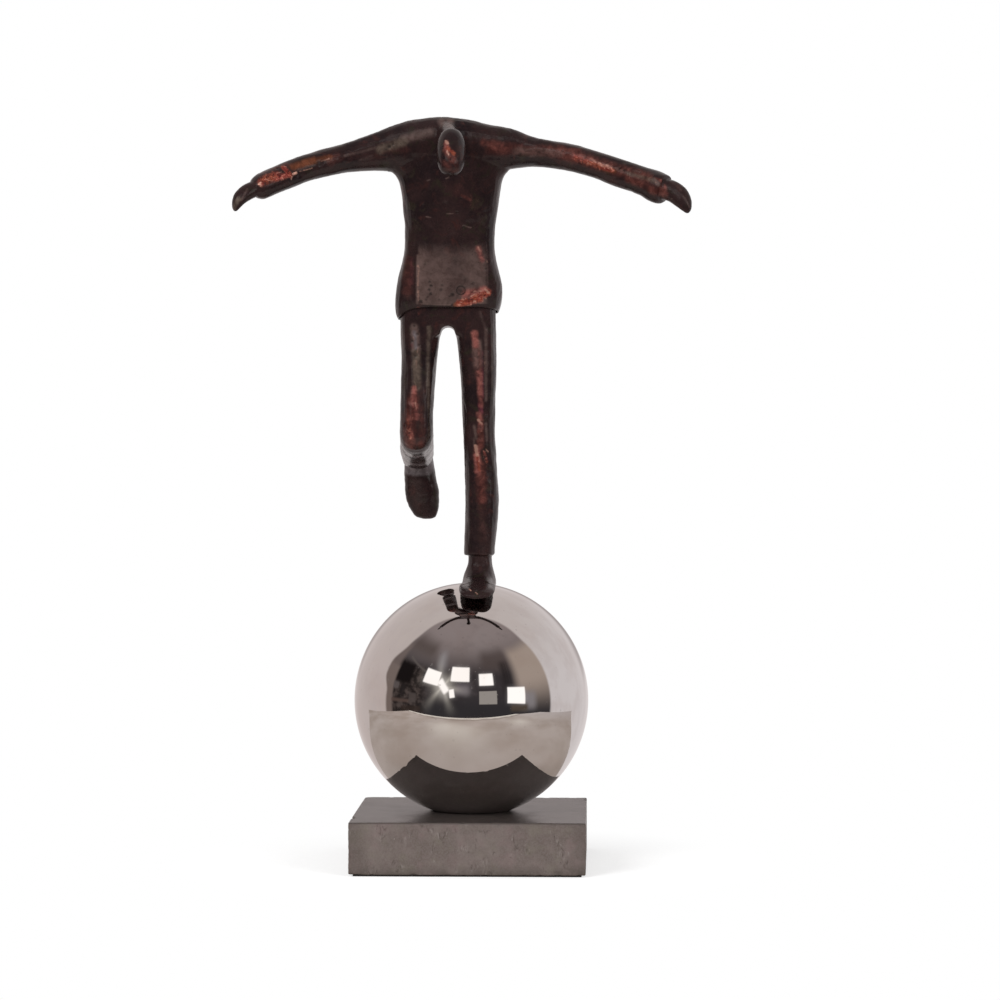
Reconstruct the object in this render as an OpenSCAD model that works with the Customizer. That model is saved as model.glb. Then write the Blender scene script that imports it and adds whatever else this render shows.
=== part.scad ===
// Balancing ornament: a dark bronze figure in jacket and trousers stands on one leg,
// arms out and head bowed, on a polished hollow steel ball set in a square stone plinth.
// Millimetres, Z up, origin at the centre of the underside of the felt, front towards -Y.
// Right and left are the figure's own: its right arm and its raised leg are on the -X side.

/* [Plinth] */
// Side of the square stone plinth
plinth_side = 118; // [90:1:160]
// Height of the stone plinth
plinth_h = 26; // [22:1:50]
// Width of the small arris along the edges of the plinth
arris = 0.6; // [0.3:0.1:2]
// Thickness of the felt under the plinth
felt_t = 1; // [0.5:0.1:3]
// How far the felt stays back from the edge of the plinth
felt_inset = 2; // [1:0.5:8]

/* [Ball] */
// Diameter of the polished steel ball
ball_d = 120; // [100:1:150]
// Wall of the two pressed halves of the ball
ball_wall = 1; // [0.6:0.1:2]
// How deep the ball sinks into its round seat in the plinth
seat_sink = 3.3; // [2:0.1:6]
// Bedding clearance between the ball and its seat
seat_gap = 0.1; // [0.05:0.05:0.3]
// Diameter of the weld bosses inside the ball
boss_d = 26; // [20:1:34]
// Thickness of the weld bosses at the middle
boss_t = 9; // [7:1:14]

/* [Fixings] */
// Diameter of the bolt that holds the ball on the plinth
bolt_d = 8; // [6:1:10]
// Length of the bolt below its head
bolt_l = 25; // [23:1:28]
// Diameter of the recess under the plinth for the bolt head
recess_d = 26; // [22:1:34]
// Depth of the recess under the plinth
recess_h = 10; // [10:0.5:12]
// Diameter of the stud that carries the figure
stud_d = 6; // [4:0.5:7]
// Length of the stud
stud_l = 56; // [40:1:90]
// Diameter of the thick dowels at shoulders, hips and waist
dowel_d = 5; // [3:0.5:6]
// Length of the thick dowels
dowel_l = 16; // [10:1:20]
// Diameter of the thin dowels at wrists, knee and raised ankle
pin_d = 3; // [2:0.5:4]
// Length of the thin dowels
pin_l = 10; // [6:1:12]
// Clearance all round a bolt, stud or dowel in its bore
bore_gap = 0.15; // [0.1:0.05:0.4]
// Free depth at the end of each dowel bore
end_gap = 0.5; // [0.2:0.1:1]
// Clearance all round the bolt in the stone
stone_gap = 0.5; // [0.3:0.1:1]
// Clearance all round the bolt in its plain washer
washer_gap = 0.2; // [0.1:0.05:0.4]

/* [Legs] */
// Place of the standing foot, sideways from the middle of the ball
foot_x = 4.1; // [0:0.5:8]
// Place of the standing foot, behind the middle of the ball
foot_y = 0.8; // [0:0.1:2]
// How far the body leans forward at the height of the shoulders
body_lean = 18; // [14:0.5:22]
// Height of the jacket's front hem above the top of the ball
leg_h = 140.8; // [120:0.1:170]
// Width of a trouser leg at mid height
leg_w = 16.5; // [14:0.5:19]
// Depth of a trouser leg at mid height
leg_depth = 17; // [14:0.5:20]
// Width of the shoes at the ball of the foot
shoe_w = 18.8; // [15:0.2:22]
// Thickness of the ankles
ankle_d = 11.8; // [10:0.2:13]
// Distance between the raised leg and the standing leg, sideways
stride_x = 31.6; // [28:0.2:34]
// Width of the gap between the legs under the seat
crotch_w = 7.4; // [6:0.2:9]
// Clearance between the sole of the standing shoe and the ball
sole_gap = 0.05; // [0.05:0.05:0.3]

/* [Jacket] */
// Height of the jacket from its front hem to the top of the shoulders
jacket_h = 95.3; // [85:0.1:115]
// Width of the jacket just above the hem
jacket_w = 54.4; // [50:0.5:58]
// Depth of the jacket just above the hem
jacket_depth = 26; // [23:0.5:30]
// Middle of the jacket, sideways from the middle of the ball
body_x = -11.7; // [-13:0.1:-10.5]
// How deep the trouser seat goes up inside the hem
hem_lap = 6; // [4:0.5:9]
// Clearance between the trouser seat and the jacket round it
hem_gap = 0.3; // [0.2:0.05:0.5]

/* [Arms and head] */
// How far the shoulders lie in front of the line of the standing leg
arm_forward = 11; // [10:0.5:12]
// How far the cuffs reach in front of the shoulders
arm_sweep = 32; // [24:0.5:40]
// Length of the right sleeve from the shoulder seam to the end of the cuff
right_sleeve_l = 64.3; // [50:0.1:90]
// Length of the left sleeve from the shoulder seam to the end of the cuff
left_sleeve_l = 76.6; // [60:0.1:100]
// Height of a sleeve at the forearm
sleeve_t = 13.5; // [11:0.5:16]
// Reach of a hand beyond its cuff
hand_l = 11.6; // [8:0.1:18]
// Length of the head from neck to crown
head_l = 25.2; // [20:0.2:32]
// Thickness of the head
head_d = 14.6; // [12:0.2:17]
// Thickness of the neck
neck_d = 9.3; // [7:0.1:10]
// Length of the neck from its seat in the shoulders to inside the head
neck_l = 30; // [28:0.5:32]
// Clearance of the neck in its bore between the shoulders
neck_gap = 0.15; // [0.1:0.05:0.3]

/* [Hidden] */
$fn = 64;

ball_r = ball_d / 2;
plinth_top = felt_t + plinth_h;
ball_z = plinth_top - seat_sink + ball_r;
// Every height of the figure is counted from the top of the ball.
figure_z = ball_z + ball_r;
hip_h = 0.825 * leg_h;
straight_h = 0.355 * leg_h;
seam_h = leg_h + 0.825 * jacket_h;
// How far forward the body leans at a height: nothing up to the shin, most at the shoulders.
function lean(h) = body_lean
  * pow(max(h - straight_h, 0) / (seam_h - straight_h), 1.6);
raised_x = foot_x - stride_x;
washer_t = bolt_d / 5;
spring_t = bolt_d / 4;
head_t = bolt_d * 0.66;
stud_z = figure_z - ball_wall - 0.9 * boss_t;

bronze = [0.25, 0.14, 0.11];
steel = [0.72, 0.72, 0.74];
stone = [0.46, 0.42, 0.4];

// A value raised to a power with its sign kept, for rounded-square outlines.
function keep_sign(v, e) = sign(v) * pow(abs(v), e);

// One smooth step between the rows p1 and p2 of a table, with their neighbours.
function between(p0, p1, p2, p3, t) = 0.5 * (2 * p1 + (p2 - p0) * t
  + (2 * p0 - 5 * p1 + 4 * p2 - p3) * t * t + (3 * p1 - p0 - 3 * p2 + p3) * t * t * t);

// A table of rows with `k` smooth steps between each pair of rows.
function smooth_rows(rows, k) = let (last = len(rows) - 1) [
  for (i = [0 : last - 1]) for (j = [0 : k - 1])
    between(rows[max(i - 1, 0)], rows[i], rows[i + 1], rows[min(i + 2, last)], j / k),
  rows[last]
];

function part_of(list, from, to) = [for (i = [from : to]) list[i]];

// A point moved forward by the lean at its height.
function leaned(p) = [p[0], p[1] - lean(p[2]), p[2]];

// A rounded upright outline, for arms and yoke. A row is
// [x, height, half height, half depth, tilt, y, squareness, turn].
function cross_ring(row, count) = [for (i = [0 : count - 1])
  let (a = 360 * i / count, v = keep_sign(cos(a), 2 / row[6]) * row[2],
       w = keep_sign(sin(a), 2 / row[6]) * row[3])
  leaned([row[0] + v * sin(row[4]) + w * sin(row[7]), row[5] + w * cos(row[7]),
          row[1] + v * cos(row[4])])];

// A level rounded outline, for torso and trouser seat. A row is
// [height, left edge, right edge, y, half depth, squareness, drop of left side,
// drop of right side, drop at the back].
function level_ring(row, count) = [for (i = [0 : count - 1])
  let (a = 360 * i / count, c = keep_sign(cos(a), 2 / row[5]),
       s = keep_sign(sin(a), 2 / row[5]), side = pow(abs(cos(a)), 3))
  leaned([(row[1] + row[2]) / 2 + c * (row[2] - row[1]) / 2, row[3] + s * row[4],
          row[0] - side * (c < 0 ? row[6] : row[7]) - row[8] * max(s, 0)])];

// A rounded outline whose plane holds the X axis, for legs and shoes. A row is
// [y of one end, height of it, y of the other end, height of it, x, half width,
// squareness].
function leg_ring(row, count) = [for (i = [0 : count - 1])
  let (a = 360 * i / count, v = keep_sign(cos(a), 2 / row[6]),
       w = keep_sign(sin(a), 2 / row[6]) * row[5])
  leaned([row[4] + w, (row[0] + row[2]) / 2 + v * (row[2] - row[0]) / 2,
          (row[1] + row[3]) / 2 + v * (row[3] - row[1]) / 2])];

function middle(ring) = [for (k = [0 : 2]) let (v = [for (p = ring) p[k]])
  (max(v) + min(v)) / 2];

// A solid skin over a row of outlines, closed at both ends.
module skin(rings, flip = false) {
  n = len(rings[0]);
  m = len(rings);
  points = concat([for (r = rings) each r], [middle(rings[0]), middle(rings[m - 1])]);
  sides = [for (j = [0 : m - 2]) for (i = [0 : n - 1])
    let (a = j * n + i, b = j * n + (i + 1) % n, c = a + n, d = b + n)
    each [[a, b, d], [a, d, c]]];
  ends = [for (i = [0 : n - 1]) let (k = (i + 1) % n, z = (m - 1) * n)
    each [[m * n, k, i], [m * n + 1, z + i, z + k]]];
  faces = concat(sides, ends);
  polyhedron(points, flip ? [for (f = faces) [f[0], f[2], f[1]]] : faces);
}

// Everything of the figure sits on the top of the ball.
module on_ball() { translate([0, 0, figure_z]) children(); }

/* Arms: one smooth arch of outlines from cuff to cuff, parted at the shoulder seams. */

right_seam_x = body_x - 0.540 * jacket_w;
left_seam_x = body_x + 0.606 * jacket_w;
arm_y = -arm_forward;

// Rows of a sleeve from the cuff to the seam: distance out from the seam and drop
// from the seam in sleeve lengths, height and depth in sleeve heights, tilt.
right_sleeve_table = [
  [1.000, 0.337, 0.330, 0.350, 16], [0.983, 0.330, 0.404, 0.420, 15],
  [0.957, 0.320, 0.471, 0.470, 14], [0.913, 0.295, 0.501, 0.490, 13],
  [0.790, 0.234, 0.512, 0.495, 11.4], [0.709, 0.197, 0.510, 0.495, 9.8],
  [0.620, 0.160, 0.508, 0.495, 8.2], [0.506, 0.121, 0.513, 0.495, 6],
  [0.388, 0.087, 0.530, 0.505, 4], [0.270, 0.056, 0.582, 0.530, 2],
  [0.153, 0.027, 0.672, 0.570, 0], [0.073, 0.011, 0.748, 0.600, 0],
  [0.000, -0.002, 0.821, 0.630, 0]
];
left_sleeve_table = [
  [1.000, 0.292, 0.490, 0.470, 15], [0.995, 0.291, 0.530, 0.510, 15],
  [0.980, 0.288, 0.566, 0.540, 14.5], [0.948, 0.275, 0.583, 0.550, 14],
  [0.916, 0.259, 0.569, 0.530, 14], [0.877, 0.241, 0.538, 0.510, 13.4],
  [0.808, 0.212, 0.522, 0.500, 12], [0.746, 0.189, 0.521, 0.500, 10.3],
  [0.671, 0.160, 0.519, 0.495, 9], [0.596, 0.130, 0.515, 0.490, 7.9],
  [0.517, 0.102, 0.515, 0.490, 6], [0.437, 0.075, 0.521, 0.495, 4],
  [0.366, 0.058, 0.522, 0.500, 2], [0.294, 0.043, 0.523, 0.510, 0],
  [0.215, 0.029, 0.543, 0.530, 0], [0.135, 0.017, 0.578, 0.555, 0],
  [0.067, 0.006, 0.662, 0.590, 0], [0.000, -0.004, 0.757, 0.620, 0]
];
// Rows of the yoke from the right seam to the left one: place between the seams and
// height above the line through them in jacket heights, height and depth in sleeve heights.
yoke_table = [
  [0.170, 0.014, 0.974, 0.70], [0.350, 0.020, 1.058, 0.76],
  [0.470, 0.018, 1.083, 0.78], [0.650, 0.010, 1.048, 0.76], [0.830, 0.002, 0.900, 0.69]
];

// A sleeve curves forward: most at the cuff, where its outlines turn to face along it.
function sleeve_rows(table, seam, dir, l) = [for (r = table)
  [seam + dir * r[0] * l, seam_h - r[1] * l, r[2] * sleeve_t, r[3] * sleeve_t,
   dir * r[4], arm_y - arm_sweep * pow(r[0], 1.5), 2.15,
   dir * atan(1.5 * arm_sweep / l * sqrt(r[0]))]];
function reversed(list) = [for (i = [len(list) - 1 : -1 : 0]) list[i]];

right_rows = sleeve_rows(right_sleeve_table, right_seam_x, -1, right_sleeve_l);
left_rows = reversed(sleeve_rows(left_sleeve_table, left_seam_x, 1, left_sleeve_l));
yoke_rows = [for (r = yoke_table)
  [right_seam_x + r[0] * (left_seam_x - right_seam_x), seam_h + r[1] * jacket_h,
   r[2] * sleeve_t, r[3] * sleeve_t, 0, arm_y, 2.15, 0]];
arm_steps = 2;
arch_rings = [for (r = smooth_rows(concat(right_rows, yoke_rows, left_rows), arm_steps))
  cross_ring(r, 24)];
right_seam = (len(right_rows) - 1) * arm_steps;
left_seam = (len(right_rows) + len(yoke_rows)) * arm_steps;

// The wrist joints: middle of the cuff's end face and its tilt.
right_wrist = right_rows[0];
left_wrist = left_rows[len(left_rows) - 1];

// Rows of a hand from wrist to finger tips: out and down from the wrist in hand
// lengths, height and thickness in sleeve heights, tilt.
right_hand_table = [
  [0, 0, 0.300, 0.300, 16], [0.13, 0.06, 0.305, 0.290, 19],
  [0.31, 0.17, 0.305, 0.270, 23], [0.48, 0.31, 0.287, 0.250, 28],
  [0.63, 0.48, 0.258, 0.225, 34], [0.725, 0.65, 0.213, 0.190, 38],
  [0.78, 0.81, 0.160, 0.150, 41], [0.805, 0.935, 0.095, 0.100, 45],
  [0.805, 1, 0.029, 0.030, 50]
];
left_hand_table = [
  [0, 0, 0.365, 0.340, 15], [0.12, 0.02, 0.390, 0.330, 14],
  [0.33, 0.10, 0.398, 0.310, 15], [0.55, 0.25, 0.392, 0.290, 23],
  [0.745, 0.45, 0.350, 0.260, 34], [0.88, 0.67, 0.270, 0.220, 42],
  [0.96, 0.86, 0.184, 0.170, 51], [0.995, 1, 0.103, 0.110, 56],
  [1.005, 1.065, 0.029, 0.030, 60]
];
function hand_rings(table, wrist, dir) = [for (r = smooth_rows(table, 2)) cross_ring(
  [wrist[0] + dir * r[0] * hand_l, wrist[1] - r[1] * hand_l, r[2] * sleeve_t,
   r[3] * sleeve_t, dir * r[4], wrist[5] - r[0] * hand_l * tan(abs(wrist[7])), 2.1,
   wrist[7]], 20)];

// A bore or dowel along the axis of a wrist, `reach` to each side of the joint.
module at_wrist(wrist, d, reach) {
  on_ball() translate(leaned([wrist[0], wrist[5], wrist[1]]))
    rotate([0, 90 + wrist[4], -wrist[7]])
    cylinder(d = d, h = 2 * reach, center = true);
}

// A bore or dowel across a shoulder seam.
module at_shoulder(x, d, reach) {
  on_ball() translate(leaned([x, arm_y, seam_h - 0.07 * sleeve_t])) rotate([0, 90, 0])
    cylinder(d = d, h = 2 * reach, center = true);
}

module right_sleeve() {
  color(bronze) difference() {
    on_ball() skin(part_of(arch_rings, 0, right_seam));
    at_shoulder(right_seam_x, dowel_d + 2 * bore_gap, dowel_l / 2 + end_gap);
    at_wrist(right_wrist, pin_d + 2 * bore_gap, pin_l / 2 + end_gap);
  }
}

module left_sleeve() {
  color(bronze) difference() {
    on_ball() skin(part_of(arch_rings, left_seam, len(arch_rings) - 1));
    at_shoulder(left_seam_x, dowel_d + 2 * bore_gap, dowel_l / 2 + end_gap);
    at_wrist(left_wrist, pin_d + 2 * bore_gap, pin_l / 2 + end_gap);
  }
}

module right_hand() {
  color(bronze) difference() {
    on_ball() skin(hand_rings(right_hand_table, right_wrist, -1), true);
    at_wrist(right_wrist, pin_d + 2 * bore_gap, pin_l / 2 + end_gap);
  }
}

module left_hand() {
  color(bronze) difference() {
    on_ball() skin(hand_rings(left_hand_table, left_wrist, 1));
    at_wrist(left_wrist, pin_d + 2 * bore_gap, pin_l / 2 + end_gap);
  }
}

module right_shoulder_dowel() { color(steel) at_shoulder(right_seam_x, dowel_d, dowel_l / 2); }
module left_shoulder_dowel() { color(steel) at_shoulder(left_seam_x, dowel_d, dowel_l / 2); }
module right_wrist_pin() { color(steel) at_wrist(right_wrist, pin_d, pin_l / 2); }
module left_wrist_pin() { color(steel) at_wrist(left_wrist, pin_d, pin_l / 2); }

/* Jacket: a level loft from the hem to under the shoulders, joined to the yoke. */

// Height above the front hem in jacket heights, left and right edge from the middle in
// jacket widths, front and back in jacket depths, squareness, drops of the hem at its
// sides and back in jacket depths.
torso_table = [
  [-0.001, -0.478, 0.480, -0.445, 0.490, 3.3, 0.21, 0.06, 0.115],
  [0.021, -0.489, 0.496, -0.475, 0.500, 3.4, 0.19, 0.05, 0.096],
  [0.062, -0.493, 0.512, -0.505, 0.495, 3.4, 0.135, 0.023, 0.077],
  [0.120, -0.480, 0.511, -0.540, 0.470, 3.3, 0.058, 0, 0.038],
  [0.191, -0.449, 0.481, -0.582, 0.430, 3.2, 0, 0, 0],
  [0.251, -0.423, 0.456, -0.617, 0.395, 3.1, 0, 0, 0],
  [0.316, -0.402, 0.442, -0.655, 0.350, 3, 0, 0, 0],
  [0.381, -0.398, 0.445, -0.690, 0.310, 2.9, 0, 0, 0],
  [0.441, -0.391, 0.456, -0.722, 0.262, 2.8, 0, 0, 0],
  [0.501, -0.403, 0.475, -0.752, 0.215, 2.8, 0, 0, 0],
  [0.561, -0.410, 0.492, -0.780, 0.170, 2.7, 0, 0, 0],
  [0.621, -0.425, 0.508, -0.800, 0.120, 2.6, 0, 0, 0],
  [0.661, -0.443, 0.521, -0.808, 0.080, 2.4, 0, 0, 0],
  [0.693, -0.475, 0.549, -0.812, 0.052, 2.2, 0, 0, 0],
  [0.715, -0.520, 0.584, -0.812, 0.034, 2.05, 0, 0, 0],
  [0.746, -0.525, 0.589, -0.808, 0.012, 2.1, 0, 0, 0],
  [0.790, -0.479, 0.550, -0.790, -0.010, 2.2, 0, 0, 0],
  [0.840, -0.419, 0.481, -0.740, -0.035, 2.3, 0, 0, 0],
  [0.879, -0.320, 0.372, -0.660, -0.100, 2.3, 0, 0, 0],
  [0.904, -0.181, 0.234, -0.560, -0.200, 2.2, 0, 0, 0]
];
torso_rings = [for (r = smooth_rows(torso_table, 2)) level_ring(
  [leg_h + r[0] * jacket_h, body_x + r[1] * jacket_w, body_x + r[2] * jacket_w,
   (r[3] + r[4]) / 2 * jacket_depth, (r[4] - r[3]) / 2 * jacket_depth, r[5],
   r[6] * jacket_depth, r[7] * jacket_depth, r[8] * jacket_depth], 36)];

// Trouser seat: height in leg heights, half width in jacket widths, half depth in jacket
// depths and squareness of the block that joins the two leg tops.
seat_top = leg_h + hem_lap;
// Half width of the leg tops inside the hem, in jacket widths.
seat_half = 0.452;
seat_table = [
  [0.897, 0.360, 0.330, 2.6], [0.922, 0.365, 0.350, 2.6], [0.957, 0.370, 0.370, 2.7],
  [1, 0.375, 0.380, 2.8], [seat_top / leg_h, 0.375, 0.380, 2.8]
];
seat_rings = [for (r = seat_table) level_ring(
  [r[0] * leg_h, body_x - r[1] * jacket_w, body_x + r[1] * jacket_w, foot_y,
   r[2] * jacket_depth, r[3], 0, 0, 0], 32)];

// The pocket inside the hem that the trouser seat goes up into.
pocket_rings = [for (h = [0.915 * leg_h, 0.965 * leg_h, seat_top]) level_ring(
  [h, body_x - seat_half * jacket_w - hem_gap, body_x + seat_half * jacket_w + hem_gap,
   foot_y, 0.4 * jacket_depth + hem_gap, 3, 0, 0, 0], 36)];

waist_apart = 0.22 * jacket_w;
module waist_dowel(x, d, reach) {
  on_ball() translate(leaned([x, foot_y, seat_top]))
    cylinder(d = d, h = 2 * reach, center = true);
}

// The neck sits in a bore in the shoulders and goes forward and down out of it.
neck_root = leaned([body_x + 0.005 * jacket_w, arm_y - 0.07 * sleeve_t,
  seam_h + 0.018 * jacket_h + 0.67 * sleeve_t]);
neck_drop = 20;
neck_turn = 9;
module along_neck() {
  on_ball() translate(neck_root) rotate([90 + neck_drop, 0, neck_turn]) children();
}

module jacket() {
  color(bronze) difference() {
    union() {
      on_ball() skin(torso_rings, true);
      on_ball() skin(part_of(arch_rings, right_seam, left_seam));
    }
    on_ball() skin(pocket_rings, true);
    waist_dowel(body_x - waist_apart, dowel_d + 2 * bore_gap, dowel_l / 2 + end_gap);
    waist_dowel(body_x + waist_apart, dowel_d + 2 * bore_gap, dowel_l / 2 + end_gap);
    at_shoulder(right_seam_x, dowel_d + 2 * bore_gap, dowel_l / 2 + end_gap);
    at_shoulder(left_seam_x, dowel_d + 2 * bore_gap, dowel_l / 2 + end_gap);
    along_neck() cylinder(d = neck_d + 2 * neck_gap, h = neck_l);
  }
}

module right_waist_dowel() { color(steel) waist_dowel(body_x - waist_apart, dowel_d, dowel_l / 2); }
module left_waist_dowel() { color(steel) waist_dowel(body_x + waist_apart, dowel_d, dowel_l / 2); }

// Plain egg-shaped head with its crown hanging forward, turned in one with the neck.
head_place = neck_root + [0.43 * neck_d, -1.08 * neck_l, -0.6 * head_l];
head_lean = 24;
module head() {
  half = head_l / 2;
  egg = [for (i = [0 : 20]) let (a = 180 * i / 20)
    [head_d / 2 * keep_sign(sin(a), 0.74) * (1 + 0.03 * cos(a)),
     half * keep_sign(cos(a), 0.84)]];
  color(bronze) union() {
    on_ball() translate(head_place) rotate([180 - head_lean, 0, 0])
      rotate_extrude() polygon([for (p = egg) [max(p[0], 0), p[1]]]);
    along_neck() cylinder(d = neck_d, h = neck_l);
  }
}

/* Legs: rows in the YZ plane, from the front or lower edge to the back or upper edge. */

// Height in leg heights, sideways shift and half width in leg widths, y and half depth
// in leg depths.
standing_table = [
  [0.1014, 0.000, 0.465, 0.06, 0.465], [0.108, 0.002, 0.478, 0.06, 0.480],
  [0.130, 0.006, 0.482, 0.06, 0.485], [0.194, 0.045, 0.500, 0.05, 0.495],
  [0.300, 0.078, 0.524, 0.05, 0.505], [0.410, 0.054, 0.514, 0.04, 0.515],
  [0.520, -0.006, 0.502, 0.03, 0.525], [0.600, -0.014, 0.512, 0.03, 0.535],
  [0.680, -0.014, 0.530, 0.03, 0.545], [0.750, -0.014, 0.558, 0.03, 0.560],
  [0.825, -0.044, 0.594, 0.04, 0.575]
];
// The top of a leg inside the seat: height in leg heights, inner edge in jacket widths
// from the middle of the jacket, half depth in jacket depths.
leg_top_table = [[0.913, 0.066, 0.386], [0.970, 0.051, 0.392], [1.030, 0.045, 0.395]];
function leg_tops(side) = [for (r = leg_top_table)
  let (inner = r[1] * jacket_w, outer = seat_half * jacket_w, d = r[2] * jacket_depth)
  [foot_y - d, r[0] * leg_h, foot_y + d, r[0] * leg_h,
   body_x + side * (inner + outer) / 2, (outer - inner) / 2, 2.35]];
standing_rows = concat([for (r = standing_table)
  [(r[3] - r[4]) * leg_depth, r[0] * leg_h, (r[3] + r[4]) * leg_depth, r[0] * leg_h,
   foot_x + r[1] * leg_w, r[2] * leg_w, 2.35]], leg_tops(1));
standing_rings = [for (r = smooth_rows(standing_rows, 2)) leg_ring(r, 24)];
standing_hip = 2 * (len(standing_table) - 1);

// Front or lower edge and back or upper edge, y in leg depths and height in leg heights,
// then sideways shift from the raised leg's line and half width in leg widths. The
// knee's fold is a fan of rows.
raised_table = [
  [-0.575, 0.825, 0.565, 0.825, 0.068, 0.560], [-0.66, 0.738, 0.435, 0.738, 0.024, 0.540],
  [-0.755, 0.660, 0.33, 0.664, -0.002, 0.516], [-0.835, 0.590, 0.27, 0.632, -0.016, 0.508],
  [-0.83, 0.528, 0.265, 0.621, -0.022, 0.516], [-0.60, 0.484, 0.30, 0.613, -0.028, 0.520],
  [-0.18, 0.466, 0.37, 0.605, -0.040, 0.522], [0.35, 0.4555, 0.60, 0.594, -0.058, 0.525],
  [1.06, 0.4395, 1.22, 0.570, -0.094, 0.528], [1.76, 0.4235, 1.90, 0.547, -0.132, 0.530],
  [2.30, 0.4105, 2.42, 0.529, -0.158, 0.525], [2.48, 0.4115, 2.59, 0.5215, -0.164, 0.490]
];
raised_rows = concat(reversed(leg_tops(-1)), [for (r = raised_table)
  [r[0] * leg_depth, r[1] * leg_h, r[2] * leg_depth, r[3] * leg_h,
   raised_x + r[4] * leg_w, r[5] * leg_w, 2.3]]);
raised_rings = [for (r = smooth_rows(raised_rows, 2)) leg_ring(r, 24)];
raised_hip = 2 * len(leg_top_table);
knee = raised_hip + 10;

// The middle of an outline and the slope of its plane, where a pin crosses it.
function slope_of(ring) = let (d = ring[0] - ring[12]) atan2(d[2], d[1]);
module at_ring(ring, d, reach) {
  on_ball() translate((ring[0] + ring[12]) / 2) rotate([slope_of(ring), 0, 0])
    cylinder(d = d, h = 2 * reach, center = true);
}
knee_ring = raised_rings[knee];
cuff_ring = raised_rings[len(raised_rings) - 1];

module hip_dowel(x, y, d, reach) {
  on_ball() translate(leaned([x, y, hip_h])) cylinder(d = d, h = 2 * reach, center = true);
}
standing_hip_x = foot_x - 0.044 * leg_w;
raised_hip_x = raised_x + 0.068 * leg_w;
standing_hip_y = 0.04 * leg_depth;

// The bore for the stud runs from the ball up through shoe and leg.
module stud(d, extra) {
  translate([foot_x, foot_y, stud_z - extra]) cylinder(d = d, h = stud_l + 2 * extra);
}

module standing_leg() {
  color(bronze) difference() {
    on_ball() skin(part_of(standing_rings, 0, standing_hip));
    stud(stud_d + 2 * bore_gap, end_gap);
    hip_dowel(standing_hip_x, standing_hip_y, dowel_d + 2 * bore_gap, dowel_l / 2 + end_gap);
  }
}

module trouser_seat() {
  last = len(standing_rings) - 1;
  arch_r = crotch_w / 2;
  color(bronze) difference() {
    union() {
      difference() {
        on_ball() skin(seat_rings, true);
        on_ball() translate([body_x, 0, 0.931 * leg_h - arch_r]) {
          rotate([90, 0, 0]) cylinder(r = arch_r, h = 2 * jacket_depth, center = true);
          translate([0, 0, -0.05 * leg_h])
            cube([crotch_w, 2 * jacket_depth, 0.1 * leg_h], center = true);
        }
      }
      on_ball() skin(part_of(standing_rings, standing_hip, last));
      on_ball() skin(part_of(raised_rings, 0, raised_hip), true);
    }
    hip_dowel(standing_hip_x, standing_hip_y, dowel_d + 2 * bore_gap, dowel_l / 2 + end_gap);
    hip_dowel(raised_hip_x, 0, dowel_d + 2 * bore_gap, dowel_l / 2 + end_gap);
    waist_dowel(body_x - waist_apart, dowel_d + 2 * bore_gap, dowel_l / 2 + end_gap);
    waist_dowel(body_x + waist_apart, dowel_d + 2 * bore_gap, dowel_l / 2 + end_gap);
  }
}

module raised_thigh() {
  color(bronze) difference() {
    on_ball() skin(part_of(raised_rings, raised_hip, knee), true);
    hip_dowel(raised_hip_x, 0, dowel_d + 2 * bore_gap, dowel_l / 2 + end_gap);
    at_ring(knee_ring, pin_d + 2 * bore_gap, pin_l / 2 + end_gap);
  }
}

module raised_shin() {
  color(bronze) difference() {
    on_ball() skin(part_of(raised_rings, knee, len(raised_rings) - 1), true);
    at_ring(knee_ring, pin_d + 2 * bore_gap, pin_l / 2 + end_gap);
    at_ring(cuff_ring, pin_d + 2 * bore_gap, pin_l / 2 + end_gap);
  }
}

module standing_hip_dowel() {
  color(steel) hip_dowel(standing_hip_x, standing_hip_y, dowel_d, dowel_l / 2);
}
module raised_hip_dowel() { color(steel) hip_dowel(raised_hip_x, 0, dowel_d, dowel_l / 2); }
module knee_pin() { color(steel) at_ring(knee_ring, pin_d, pin_l / 2); }
module raised_ankle_pin() { color(steel) at_ring(cuff_ring, pin_d, pin_l / 2); }

/* Shoes: rows fan round the instep, from the ankle over the heel to the toe. */

cuff_h = 0.1014 * leg_h;
// Instep point and sole point: y in ankle thicknesses and drop from the cuff in cuff
// heights for each, then sideways shift and half width in shoe widths.
standing_shoe_table = [
  [-0.490, 0, 0.490, 0, 0.020, 0.320], [-0.500, -0.28, 0.540, -0.29, 0.020, 0.325],
  [-0.570, -0.45, 0.760, -0.60, 0.010, 0.375], [-0.680, -0.56, 0.960, -0.91, 0, 0.425],
  [-0.800, -0.65, 0.980, -1.22, 0, 0.455], [-0.960, -0.73, 0.300, -1.43, -0.005, 0.465],
  [-1.250, -0.80, -0.700, -1.40, -0.015, 0.475], [-1.700, -0.90, -1.400, -1.16, -0.020, 0.492],
  [-2.150, -0.97, -2.050, -1.275, -0.020, 0.503], [-2.620, -1.06, -2.560, -1.385, -0.015, 0.490],
  [-2.930, -1.17, -2.890, -1.450, -0.010, 0.415], [-3.070, -1.30, -3.050, -1.480, -0.005, 0.265],
  [-3.110, -1.40, -3.105, -1.450, 0, 0.060]
];
standing_shoe_rings = [for (r = smooth_rows(standing_shoe_table, 2)) leg_ring(
  [foot_y + r[0] * ankle_d, (1 + r[1]) * cuff_h, foot_y + r[2] * ankle_d,
   (1 + r[3]) * cuff_h, foot_x + r[4] * shoe_w, r[5] * shoe_w, 2.35], 24)];

module standing_shoe() {
  color(bronze) difference() {
    on_ball() skin(standing_shoe_rings, true);
    translate([0, 0, ball_z]) sphere(r = ball_r + sole_gap);
    stud(stud_d + 2 * bore_gap, end_gap);
  }
}

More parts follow.
